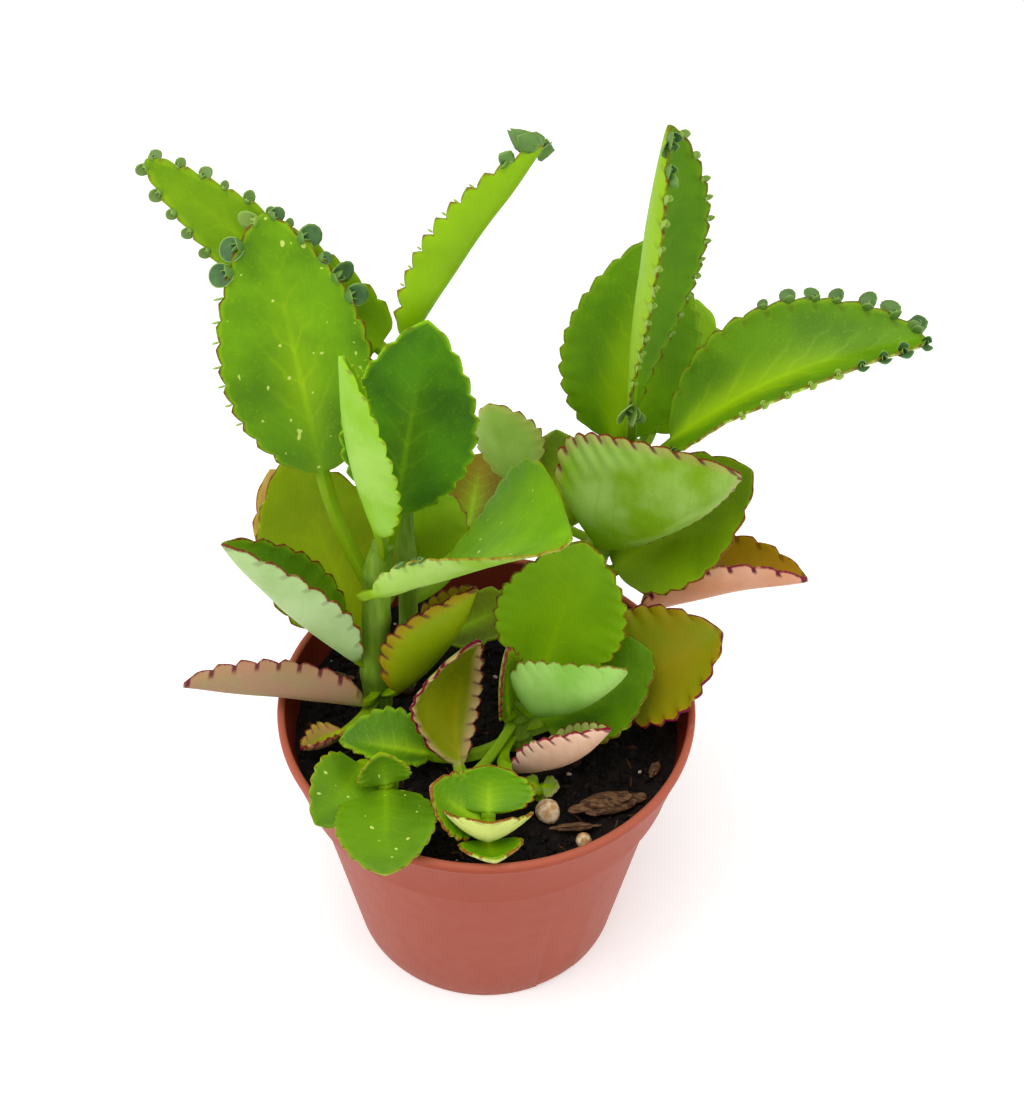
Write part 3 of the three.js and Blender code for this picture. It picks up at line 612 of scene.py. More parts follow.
def bark_grain(wire):
    ridge = wire.grain(0.6, 5, stretch=(0.25, 1, 1))
    colour = wire.mix(ridge.over(0.3, 0.7), paint("#3a2416"), paint("#7d5a3c"))
    colour = wire.mix(wire.grain(2.2, 3).over(0.52, 0.68) * 0.7, colour, paint("#2a1a12"))
    return {"Base Color": colour, "Roughness": 0.9 - 0.2 * ridge, "Normal": wire.bump(ridge, 0.4)}


def pale_grit(wire):
    patch = wire.grain(1.6, 3)
    colour = wire.mix(patch.over(0.35, 0.65), paint("#b98a54"), paint("#ddc9a4"))
    colour = wire.mix(wire.grain(0.4, 3).over(0.62, 0.7) * 0.6, colour, paint("#6b4a30"))
    return {"Base Color": colour, "Roughness": 0.7 + 0.2 * patch,
            "Normal": wire.bump(wire.grain(0.5, 4), 0.15)}


bark_finish = finish("bark_grain", bark_grain, Specular_IOR_Level=0.25)
grit_finish = finish("pale_grit", pale_grit, Specular_IOR_Level=0.35)
for node, spec in BARK.items():
    body = bark_splinter(spec["half"])
    spot = Matrix.Translation(Vector(spec["at"]) * MM) @ Matrix.Rotation(spec["turn"], 4, "Z")
    spot @= Matrix.Rotation(spec["tilt"], 4, "Y")
    bmesh.ops.transform(body, matrix=spot, verts=body.verts)
    piece(node + "_rough", body, bark_finish, SLOTS[node], node)
for node, spec in STONES.items():
    body = grit_stone(spec["radius"])
    bmesh.ops.translate(body, vec=Vector(spec["at"]) * MM, verts=body.verts)
    piece(node + "_rough", body, grit_finish, SLOTS[node], node)

# %% [markdown]
# ## The stems
#
# A stem is a round rod that swells a little at each joint, where a pair of leaves grows. It could
# be swept along a curve, but turning a profile first and then bending the rod along its path keeps
# the swellings simple: they are just radii.

# %% Stem table
# path: points on the stem's axis from inside the soil upwards; radii: at those points
STEMS = {
    "left": dict(path=((-28, 5, 59), (-28, 4, 84), (-27, 3, 104), (-26, 4, 118), (-24.5, 5, 127)),
                 radii=(3.6, 3.8, 3.3, 3.6, 2.4)),
    "rear": dict(path=((-22, 13, 59), (-20.5, 15, 84), (-20.5, 18, 110), (-21, 22, 140), (-21, 24, 164)),
                 radii=(2.4, 2.5, 2.3, 2.2, 1.8)),
    "right": dict(path=((22, 27, 59), (24, 29, 84), (28, 32, 104), (33, 35, 122), (35, 37, 134)),
                  radii=(3.6, 3.8, 3.3, 3.4, 2.4)),
    "centre": dict(path=((9, -5, 59), (8.5, -6, 69), (8, -6.5, 75), (8, -6.5, 81), (8, -6.5, 87)),
                   radii=(3, 3.4, 3.4, 3, 2)),
}

STEM_SIDES = 28
STEM_ROWS = 96
JOINT_SWELLING = 0.35
JOINT_LENGTH = 0.035  # share of the stem's length over which a joint swells
CLOSING_ROWS = 2  # rows over which each end closes
UNEVENNESS = 0.03  # share of the radius
FINE_WELD = 1e-7  # metres: closes the seam of a sleeve
STEM_PLACE = -0.5  # a stem's skin counts as the middle of a stalk
FAR_FROM_EDGE = 3  # and as this far from any margin
LEAF_LAYERS = ("along", "share", "edge", "rib", "tooth", "upper", "joint")


def along_path(points, share):
    """Point on a smooth curve through the points, at 0 to 1."""
    place = min(max(share, 0), 0.99999) * (len(points) - 1)
    k = int(place)
    s = place - k
    p1, p2 = points[k], points[k + 1]
    p0 = points[k - 1] if k else 2 * p1 - p2
    p3 = points[k + 2] if k + 2 < len(points) else 2 * p2 - p1
    return 0.5 * (2 * p1 + (p2 - p0) * s + (2 * p0 - 5 * p1 + 4 * p2 - p3) * s * s
                  + (3 * p1 - p0 - 3 * p2 + p3) * s ** 3)


def leafy_mesh():
    """An empty mesh with a layer for each attribute that the finishes read."""
    bm = bmesh.new()
    for name in LEAF_LAYERS:
        bm.verts.layers.float.new(name)
    return bm


def note(bm, vert, **values):
    """Writes a vertex's attributes."""
    for name, value in values.items():
        vert[bm.verts.layers.float[name]] = value


def add_stem(bm, stem, sides=STEM_SIDES, rows=STEM_ROWS):
    """Adds a closed rod that follows the stem's path."""
    points = [Vector(p) for p in stem["path"]]
    radii = stem["radii"]
    made = bmesh.ops.create_grid(bm, x_segments=sides, y_segments=rows - 1, size=1)["verts"]
    for vert in made:
        angle = math.pi * (vert.co.x + 1)
        share = (vert.co.y + 1) / 2
        centre = along_path(points, share)
        tangent = (along_path(points, share + 0.01) - along_path(points, share - 0.01)).normalized()
        side = Vector((0, 1, 0)).cross(tangent).normalized()
        back = tangent.cross(side)
        at = min(share, 0.99999) * (len(radii) - 1)
        k = int(at)
        joint = min(abs(at - k), abs(at - k - 1)) / (len(radii) - 1)
        radius = blend(radii[k], radii[k + 1], at - k)
        radius += JOINT_SWELLING * math.exp(-((joint / JOINT_LENGTH) ** 2))
        radius *= 1 + UNEVENNESS * noise.noise(Vector((math.cos(angle), math.sin(angle), 9 * share)))
        closing = min(share, 1 - share) * (rows - 1)
        radius *= math.sqrt(min(closing, CLOSING_ROWS) / CLOSING_ROWS)
        vert.co = (centre + (side * math.cos(angle) + back * math.sin(angle)) * radius) * MM
        note(bm, vert, along=STEM_PLACE, edge=FAR_FROM_EDGE, upper=0.5,
             joint=math.exp(-((joint / JOINT_LENGTH) ** 2)))
    bmesh.ops.remove_doubles(bm, verts=made, dist=FINE_WELD)


# %% [markdown]
# ## One leaf
#
# A leaf is a flat stalk that widens into a blade with a cut margin. Its midrib is a curve from the
# stem to the tip, and its two halves curl up from that rib. Sculpting 40 leaves by hand would never
# match the plain solids, so the leaf is a formula with a few named numbers: where its stalk starts,
# where blade and tip lie, which way it faces, how wide it is, and how much it cups. A grid is
# wrapped round that formula as a sleeve: one way runs round the thin section, the other from stalk
# to tip, with extra rows at every tooth.

# %% The leaf's numbers
LEAF_EDGE = 0.7
LEAF_MIDDLE = 1.5
STALK_HALF_WIDTH = 1.7
STALK_THICKNESS = 2.7
STALK_EDGE = 1.3
FOLD = 0.4
ROUNDNESS = 0.68
FULLEST = 0.46
TOOTH = 1.1
TEETH_START = 0.03
TEETH_SPAN = 0.95
TOOTH_POINT = 0.72
TOOTH_LOBE = 0.3  # 0 gives saw teeth and 1 round lobes
NOTCH_SHARE = 0.45
CREASE_SOFTNESS = 0.7
TOOTH_REACH = 0.72  # place between midrib and margin from which the teeth bend the blade
LEAF_AROUND = 44
STALK_ROWS = 12
NECK_ROWS = (0, 0.15, 0.35, 0.65)  # shares of the way from the neck to the first tooth
TOOTH_ROWS = (0, 0.12, 0.28, 0.45, 0.6, 0.72, 0.82, 0.92)
TIP_ROWS = (1, 0.7, 0.45, 0.25, 0.1, 0)  # shares of what is left beyond the last tooth
SLOPE_STEP = 0.005  # share of the blade over which its outline's slope is measured
RUFFLE = 0.08
SWELL = 0.45  # how far the blade's soft unevenness goes
GROOVE_DEPTH = 0.12
GROOVE_WIDTH = 1.4

# base: place on the stem's axis. neck: where stalk turns to blade. tip: the blade's end.
# face: the way the upper face looks. wide: full width laid flat. cup: how far each half turns up,
# in radians. bow: how far the middle is pushed to the upper face. teeth: on each half. All in
# millimetres otherwise. A leaf may have numbers of its own in place of the usual ones: fullest (the
# place of its widest part), blunt (smaller for a blunter outline), halves (times the usual width),
# twist (in radians, from neck to tip), fold (the midrib's share of the cup) and tooth (how far a
# tooth stands out). A pair is for the left and the right half.


def shape(base, neck, tip, face, wide, cup, bow, teeth, **own_numbers):
    """A leaf's numbers under their names."""
    return dict(base=base, neck=neck, tip=tip, face=face, wide=wide, cup=cup, bow=bow, teeth=teeth,
                **own_numbers)


LEAVES = {
    # the left shoot
    "left_leaf_tall": shape(
        (-26.5, 3.5, 111), (-38.5, 13, 141.5), (-48.5, 28, 199.5), (0.1, -0.85, 0.5), 32, 0.25, 1, 12),
    "left_leaf_round": shape(
        (-24.5, 5, 124), (-21.5, 8, 134), (-13.5, 17, 180.5), (0.1, -0.8, 0.6), 29, 0.3, -1, 10),
    "left_leaf_narrow": shape(
        (-25, 4, 123), (-25, 0, 135), (-29.5, -6, 187), (0.95, 0.3, 0.1), 24, 0.9, -2, 10),
    "left_leaf_folded": shape(
        (-26.5, 3.5, 112), (-25.5, -6, 121), (19, -5, 139), (-0.05, 0.97, 0.4), 46, 0.6, -1, 10, twist=1.2,
        fullest=(0.73, 0.61), blunt=(0.3, 0.4), halves=(1.2, 0.52)),
    "left_leaf_low_left": shape(
        (-28, 4, 84), (-33, 2, 91), (-59.5, -4, 134), (0.6, 0.3, 0.6), 28, 1.4, -2, 8),
    "left_leaf_behind": shape(
        (-28, 4, 82), (-32, 12, 90), (-50.5, 31, 130), (0.2, -0.7, 0.7), 34, 0.3, 1, 8),
    "left_leaf_lowest": shape(
        (-28, 4, 79.5), (-31.5, -3, 80), (-73, -10, 93), (0, 1, 0.4), 17, 1.3, 0, 8, fullest=0.48,
        blunt=0.5),
    "left_leaf_low_right": shape(
        (-28, 4, 77), (-22, 0, 82), (-3, 3, 115), (-0.5, 0.5, 0.8), 30, 1.3, -3, 8),
    "left_leaf_far": shape((-28, 4, 80), (-38, 22, 86), (-58, 49, 112), (-0.2, -0.5, 0.85), 24, 0.4, 2, 5),
    "left_leaf_small": shape(
        (-28, 4.5, 75.5), (-35.5, -9, 75.5), (-45.5, -15, 76.8), (-0.1, 0.4, 0.9), 11, 0.9, -1, 5),
    # the rear shoot
    "rear_leaf_arching": shape(
        (-21, 24, 160), (-25.5, 28, 166), (-74.5, 38, 206), (-0.45, -0.5, 0.7), 17, 0.3, -0.5, 12,
        fullest=0.3, blunt=0.5),
    "rear_leaf_upright": shape(
        (-21, 24, 161), (-18.5, 22, 173), (10, 24, 218.5), (-0.6, 0.75, 0.3), 16, 1, 0.7, 11, tooth=1.7),
    "rear_leaf_back": shape(
        (-21, 18, 100), (-17, 24, 101), (-16, 31, 126), (0.1, 0.8, -0.1), 21, 0.4, -1, 6),
    "rear_leaf_brown": shape((-21, 17, 96), (-6, 41, 100), (-3, 61, 109), (0, -0.7, 0.7), 20, 0.4, 1, 5),
    "rear_leaf_low": shape(
        (-20.5, 15, 78), (-12, 20, 80.5), (9, 28, 88), (-0.3, -0.4, 0.9), 15, 0.5, -1, 5),
    # the right shoot
    "right_leaf_upright": shape(
        (33, 35, 122), (30, 39, 132.5), (37, 54, 180), (0, -0.85, 0.5), 32, 0.25, 2, 11),
    "right_leaf_folded": shape(
        (34, 36, 130), (33, 27, 149), (36, 26, 222), (0.7, -0.6, 0.2), 25, 1.2, -2, 14, fullest=0.64),
    "right_leaf_rear": shape(
        (34, 36, 128), (39.5, 43, 132), (50, 61, 159), (-0.1, -0.8, 0.6), 27, 0.3, 1, 8),
    "right_leaf_arching": shape(
        (34, 36, 127), (43, 25, 142.5), (97.5, 26, 172), (-0.35, -0.15, 0.9), 34, 0.85, 6, 12),
    "right_leaf_shell": shape(
        (29, 33, 108), (27.5, 21, 113), (57.6, 12, 144), (-0.31, 0.95, -0.1), 57, 0.8, -3, 11, fullest=0.3,
        halves=(0.5, 1)),
    "right_leaf_lower": shape(
        (27, 31, 98), (32.5, 28, 98.5), (64.5, 33, 128), (-0.3, -0.5, 0.8), 34, 0.4, 1, 8),
    "right_leaf_orange": shape(
        (24, 29, 82), (39.5, 26, 85.5), (80.5, 22, 102), (-0.2, 0.35, 0.9), 33, 1.2, 1, 8),
    "right_leaf_left": shape(
        (28, 32, 104), (6.5, 44, 114), (-0.9, 49, 135), (0.2, 0.8, 0.1), 20, 0.7, -1, 7),
    "right_leaf_back": shape(
        (27.5, 31.5, 101), (18, 43, 99), (16.5, 57, 121), (0, -0.6, 0.8), 20, 0.3, 1, 5),
    # the centre rosette
    "centre_leaf_upright": shape(
        (8, -6.5, 86), (13.5, -0.5, 88), (23, 10, 124), (0, -0.8, 0.6), 31, 0.3, -2, 10),
    "centre_leaf_right": shape(
        (8, -6.5, 77.5), (14, -7, 79), (40.6, 3, 94), (-0.3, -0.3, 0.9), 32, 0.5, -2, 8, blunt=0.52),
    "centre_leaf_shell": shape(
        (8, -6.5, 84.5), (12, -12, 87.5), (32.5, -17, 109), (-0.3, 0.93, 0), 29, 0.9, -3, 8, fullest=0.27,
        halves=(0.7, 1)),
    "centre_leaf_left": shape(
        (8, -6.5, 83.2), (5, -10.3, 85), (5.5, -9, 107), (0.85, -0.5, 0.2), 18, 0.7, -1, 8,
        halves=(0.7, 0.55)),
    "centre_leaf_near": shape(
        (8, -6.5, 74.5), (8, -22.5, 79), (29, -24.5, 97), (-0.4, 0.7, 0.6), 23, 1, -3, 8),
    "centre_leaf_cupped": shape(
        (8, -6.5, 80.5), (-6.5, -20, 77.5), (-1.5, -4, 104), (0.55, -0.75, 0.3), 38, 0.8, -6, 8,
        fullest=0.5, fold=0.1, halves=(1, 0.3)),
    "centre_leaf_low_left": shape(
        (8, -6.5, 73.4), (-14, -15.5, 75.3), (-35.9, -15, 79), (0.1, -0.3, 0.92), 18, 0.5, 1, 7,
        halves=(0.45, 1)),
    "centre_leaf_low_right": shape(
        (8, -6.5, 73), (30, 2, 77.5), (58, 7, 97.5), (-0.2, -0.35, 0.9), 33, 0.6, -1, 8),
}


# %% The leaf's outline and midrib
def own(leaf, key, side, usual):
    """A leaf's number for its left (-1) or right (1) half, where it may have one for each."""
    value = leaf.get(key, usual)
    return value[side > 0] if isinstance(value, tuple) else value


def half_blade(leaf, t, side):
    """Width of one half laid flat, from 0 at the neck to 1 at the tip, without its teeth."""
    if t < 0:
        return STALK_HALF_WIDTH
    lean = math.log(0.5) / math.log(own(leaf, "fullest", side, FULLEST))
    plump = max(math.sin(math.pi * t ** lean), 0) ** own(leaf, "blunt", side, ROUNDNESS)
    return STALK_HALF_WIDTH * (1 - t) + own(leaf, "halves", side, 1) * leaf["wide"] / 2 * plump


class Midrib:
    """The curve from stem (t = -1) to neck (0) to tip (1), with the leaf's directions on it."""

    def __init__(self, leaf):
        base, neck, tip = (Vector(leaf[key]) for key in ("base", "neck", "tip"))
        self.look = Vector(leaf["face"]).normalized()
        chord = tip - neck
        lift = (self.look - chord * (self.look.dot(chord) / chord.length_squared)).normalized()
        belly = (neck + tip) / 2 + 2 * leaf["bow"] * lift
        lead = (belly - neck).normalized() * (-0.5 * (neck - base).length)
        self.blade = (neck, belly, tip)
        self.stalk = (base, neck + lead, neck)
        self.twist = leaf.get("twist", 0)
        self.length = chord.length

    def at(self, t):
        a, b, c = self.stalk if t < 0 else self.blade
        s = t + 1 if t < 0 else min(t, 1)
        centre = a * (1 - s) ** 2 + b * (2 * s * (1 - s)) + c * s * s
        along = ((b - a) * (1 - s) + (c - b) * s).normalized()
        up = (self.look - along * self.look.dot(along)).normalized()
        up = Quaternion(along, self.twist * max(t, 0)) @ up
        return centre, along, up, along.cross(up)


def blade_point(leaf, midrib, t, out, half):
    """A point of the blade's middle surface and its normal, out millimetres from the midrib."""
    centre, _, up, across = midrib.at(t)
    cup = leaf["cup"] * ramp(t, -0.4, 0.3)
    crease = cup * leaf.get("fold", FOLD)
    bend = max((cup - crease) / max(half, 0.5), 1e-4)
    reach = abs(out)
    side = 1 if out >= 0 else -1
    soft = math.hypot(reach, CREASE_SOFTNESS) - CREASE_SOFTNESS
    sideways = (math.sin(crease + bend * reach) - math.sin(crease)) / bend
    rise = (math.cos(crease) - math.cos(crease + bend * soft)) / bend
    slope = (crease + bend * reach) * reach / math.hypot(reach, CREASE_SOFTNESS)
    place = centre + across * (side * sideways) + up * rise
    return place, up * math.cos(slope) - across * (side * math.sin(slope))


def tooth_push(leaf, t, side):
    """How far a place on the margin stands out from the plain outline."""
    pitch = TEETH_SPAN / leaf["teeth"]
    count = (t - TEETH_START) / pitch
    if not 0 <= count <= leaf["teeth"]:
        return 0
    phase = count - math.floor(count)
    saw = phase / TOOTH_POINT if phase < TOOTH_POINT else (1 - phase) / (1 - TOOTH_POINT)
    lobe = math.sin(math.pi * phase) ** 0.6 if phase > 0 else 0
    height = blend(saw, lobe, TOOTH_LOBE) - NOTCH_SHARE
    whim = noise.noise(Vector((2.7 * math.floor(count), 5 * side, leaf["wide"])))
    ends = ramp(count, 0, 0.6) * ramp(leaf["teeth"] - count, 0, 0.6)
    return leaf.get("tooth", TOOTH) * height * (1 + 0.5 * whim) * ends


# %% One leaf as a wrapped grid
def leaf_rows(leaf):
    """The places along the leaf, from stalk to tip, at which the sleeve has a ring."""
    pitch = TEETH_SPAN / leaf["teeth"]
    rows = [-1 + k / STALK_ROWS for k in range(STALK_ROWS)]
    rows += [TEETH_START * share for share in NECK_ROWS]
    rows += [TEETH_START + pitch * (k + phase) for k in range(leaf["teeth"]) for phase in TOOTH_ROWS]
    end = TEETH_START + TEETH_SPAN
    return rows + [1 - (1 - end) * share for share in TIP_ROWS]


def half_thickness(t, share, edge):
    """Half the leaf's thickness: a round stalk that flattens into a blade with a round edge."""
    stalk = blend(STALK_THICKNESS, STALK_EDGE, share) * math.sqrt(max(1 - share * share, 0))
    rounding = 1 - min(edge / (LEAF_EDGE / 2), 1)
    blade = blend(LEAF_MIDDLE, LEAF_EDGE, share ** 1.5)
    blade *= math.sqrt(1 - rounding * rounding)
    return blend(stalk, blade, ramp(t, -0.25, 0.25)) / 2


def add_leaf(bm, leaf, around=LEAF_AROUND, ruffle=RUFFLE):
    """Adds one closed leaf to a mesh; ruffle is how far its margin waves up and down."""
    midrib = Midrib(leaf)
    rows = leaf_rows(leaf)
    seed = leaf["wide"] + leaf["tip"][0]
    made = bmesh.ops.create_grid(bm, x_segments=around, y_segments=len(rows) - 1, size=1)["verts"]
    for vert in made:
        angle = math.pi * (vert.co.x + 1)
        share = math.cos(angle)
        upper = math.sin(angle)
        side = 1 if share >= 0 else -1
        start = rows[round((vert.co.y + 1) / 2 * (len(rows) - 1))]
        half = half_blade(leaf, start, side)
        tilt = 0
        if 0 < start < 1:
            rise = half_blade(leaf, min(start + SLOPE_STEP, 1), side)
            rise -= half_blade(leaf, start - SLOPE_STEP, side)
            tilt = rise / (2 * SLOPE_STEP) / midrib.length
        push = tooth_push(leaf, start, side) / math.hypot(1, tilt) * ramp(abs(share), TOOTH_REACH, 1)
        t = start - push * tilt / midrib.length
        full = half + push
        out = share * full
        edge = (1 - abs(share)) * full
        place, normal = blade_point(leaf, midrib, t, out, half)
        lift = half_thickness(start, abs(share), edge)
        wave = ruffle * ramp(abs(share), 0.55, 1) * ramp(start, 0, 0.2)
        count = (start - TEETH_START) * leaf["teeth"] / TEETH_SPAN
        wave *= math.sin(2 * math.pi * count + side)
        swell = SWELL * noise.noise(place * 0.07 + Vector((seed, 0, 0))) * ramp(start, 0.05, 0.4)
        groove = GROOVE_DEPTH * math.exp(-((out / GROOVE_WIDTH) ** 2))
        groove = groove * ramp(start, 0, 0.15) * ramp(start, 1, 0.7)
        on_margin = abs(upper) < 1e-6
        lift = 0 if on_margin else math.copysign(lift, upper) - groove
        vert.co = (place + normal * (lift + wave + swell)) * MM
        note(bm, vert, along=start, share=share, edge=edge, rib=out, tooth=count,
             upper=0.5 if on_margin else float(upper > 0))
    bmesh.ops.remove_doubles(bm, verts=made, dist=FINE_WELD)


def closed(bm):
    """Fills the open ends of stalks and turns every face outwards."""
    bmesh.ops.holes_fill(bm, edges=[edge for edge in bm.edges if edge.is_boundary], sides=0)
    bmesh.ops.recalc_face_normals(bm, faces=bm.faces)
    return bm


# %% [markdown]
# ## Leaf finishes
#
# A leaf's colour changes with its age and with the side that shows. The upper face is a saturated
# green; across the middle of the blade a painted sheen lightens it, joined by the leaf's own paler
# midrib and veins, and on some leaves painted shade darkens it towards the stalk. The lower face is
# paler and greyer, and sun and age turn old leaves olive, orange or pink. The margin carries a thin
# brown line, its teeth have dark points, and old undersides have a short purple dash at every
# notch. A few leaves are wet, and the pale spots of their drops are a painted glint. All but the
# drops follows the leaf's own shape, so the mesh carries it as attributes: the distance from the
# margin, the place along the blade, the count of teeth, and which face it is.

# %% Leaf finish
FRESH = dict(upper="#6f9f0e", deep="#578605", glow="#9dc431", under="#a9cb70", shade="#93b95a",
             rim="#7d8a2a", line=0.5, marks=0.0, mark="#5a2f38", band=0.0, blush="#c9a27c",
             stalk="#83a044", shine=0.55, painted_base_shade=0.0, dew=0.0, ruffle=0.1)
# what sets each leaf apart from a fresh one
LOOKS = {
    "left_leaf_tall": dict(upper="#70a306", deep="#528000", painted_base_shade=0.75, dew=0.7, rim="#6b4426", line=0.85),
    "left_leaf_round": dict(
        upper="#4f8a02", deep="#356400", glow="#86b429", shine=0.35, painted_base_shade=0.4, rim="#9cc457", line=0.6),
    "left_leaf_narrow": dict(under="#b0d084", shade="#98be68", rim="#a8cc70", line=0.6),
    "left_leaf_folded": dict(
        dew=0.7, upper="#80b02e", deep="#679a1e", under="#c2dc96", shade="#a9cb78", rim="#8d5f3a", line=0.6,
        marks=0.25),
    "left_leaf_low_left": dict(
        upper="#6f9a26", under="#bcd0a4", shade="#a5be8a", rim="#6d3b33", line=0.95, marks=0.35),
    "left_leaf_behind": dict(
        upper="#93ad1c", deep="#82990e", glow="#9cb22e", under="#b3c072", rim="#7a3d2b", line=0.8),
    "left_leaf_lowest": dict(
        upper="#8a8f4a", deep="#7a7a3c", under="#a98c7c", shade="#97906e", rim="#6b3140", line=0.9,
        marks=0.9, band=0.8, blush="#b4907c"),
    "left_leaf_low_right": dict(
        upper="#7d8a34", deep="#66702a", under="#9aa850", shade="#8a9c44", rim="#5f2f33", line=0.95,
        marks=0.7, band=0.75, blush="#a97f5c"),
    "left_leaf_far": dict(
        upper="#b09a70", deep="#9a8456", under="#c7a794", rim="#7a4038", line=0.8, band=0.6),
    "left_leaf_small": dict(
        upper="#a48a6a", under="#cfa896", shade="#b59a7a", rim="#6b3140", line=0.9, marks=0.9, band=0.6),
    "rear_leaf_arching": dict(upper="#7aa226", deep="#669014", glow="#9cc046", under="#b0cf7a"),
    "rear_leaf_upright": dict(upper="#8ab53a", under="#93bb48", shade="#84ab38", rim="#77532e", line=0.7),
    "rear_leaf_back": dict(upper="#7ca032", under="#98b95c", shade="#7c9c38", rim="#7a4a34", line=0.8),
    "rear_leaf_brown": dict(upper="#8b7410", deep="#6d6802", under="#a08a4c", rim="#6a3626", line=0.8),
    "rear_leaf_low": dict(upper="#77861e", deep="#5f7010", under="#98a052"),
    "right_leaf_upright": dict(upper="#6a9a06", deep="#548203", glow="#8fb62c", shine=0.85, rim="#6a6a22"),
    "right_leaf_folded": dict(
        upper="#6f9f28", deep="#5f9018", glow="#8fb846", under="#a3c464", shade="#94b850", rim="#5d4a26",
        line=0.75, marks=0.2),
    "right_leaf_rear": dict(upper="#8cb52c", deep="#79a21c", rim="#9cb84e"),
    "right_leaf_arching": dict(
        upper="#669604", deep="#4f7c00", glow="#9cc22c", shine=0.75, under="#e2efb8", shade="#cfe49c",
        rim="#5f4a26", line=0.7, marks=0.45),
    "right_leaf_shell": dict(
        ruffle=0.35, upper="#6f942c", under="#a3bd7c", shade="#7c9a4c", rim="#7a3c36", line=1.0, marks=0.85,
        band=0.55, blush="#b79a78"),
    "right_leaf_lower": dict(upper="#84a612", deep="#6d8f06", glow="#96b428", rim="#7a4436", line=0.9),
    "right_leaf_orange": dict(
        upper="#b5872c", deep="#9a7c20", glow="#c79a3a", under="#dcb4a0", shade="#cf9f86", rim="#7a3548",
        line=0.9, marks=1.0),
    "right_leaf_left": dict(
        upper="#8aa848", under="#b4cf86", shade="#a0bb74", rim="#78552c", line=0.9, band=0.3),
    "right_leaf_back": dict(upper="#6b8208", deep="#5a7202", under="#98a85c"),
    "centre_leaf_upright": dict(upper="#86b236", deep="#729f22", glow="#94bc44", rim="#6b4a2a", line=0.85),
    "centre_leaf_right": dict(upper="#64900c", deep="#4c7604", glow="#7ca622", rim="#5f4426", line=0.85),
    "centre_leaf_shell": dict(
        upper="#6c9a30", under="#a9c987", shade="#8db36c", rim="#77603a", line=0.8, marks=0.15),
    "centre_leaf_left": dict(
        upper="#6f8e3c", under="#a3b27a", shade="#8a9c58", rim="#6d3b40", line=0.95, marks=0.25, band=0.1),
    "centre_leaf_near": dict(
        upper="#8ca04e", under="#e3c8b4", shade="#cfa995", rim="#7c3846", line=1.0, marks=0.8, band=0.4,
        blush="#e9cfc0"),
    "centre_leaf_cupped": dict(
        ruffle=0.3, upper="#8c9444", deep="#6f7a2c", glow="#a6a454", under="#b59a74", rim="#6b2d3c",
        line=1.0, marks=1.0, band=1.0, blush="#d0b698"),
    "centre_leaf_low_left": dict(upper="#5f8a2a", deep="#4b7418", under="#8fb06a", rim="#a0b070"),
    "centre_leaf_low_right": dict(
        upper="#938a26", deep="#7f8d1a", glow="#a4902c", ruffle=0.25, under="#c79f86", rim="#6f2f44",
        line=1.0, marks=0.7, band=0.35, blush="#b3803c"),
    "front_left_plantlet": dict(
        dew=0.7, upper="#638f06", deep="#4b7402", glow="#76a016", rim="#8a8a3c", line=0.6),
    "front_plantlet": dict(
        upper="#6a982a", deep="#5a8a1c", under="#d9e2a0", shade="#b9c27a", rim="#8a4a44", line=0.8,
        marks=0.35),
    "seedling": dict(upper="#b9c39a", under="#c9b7a4", rim="#a58a80"),
}


def name_seed(name):
    """A number that a name alone decides, so every run draws the same."""
    return sum(ord(letter) for letter in name)


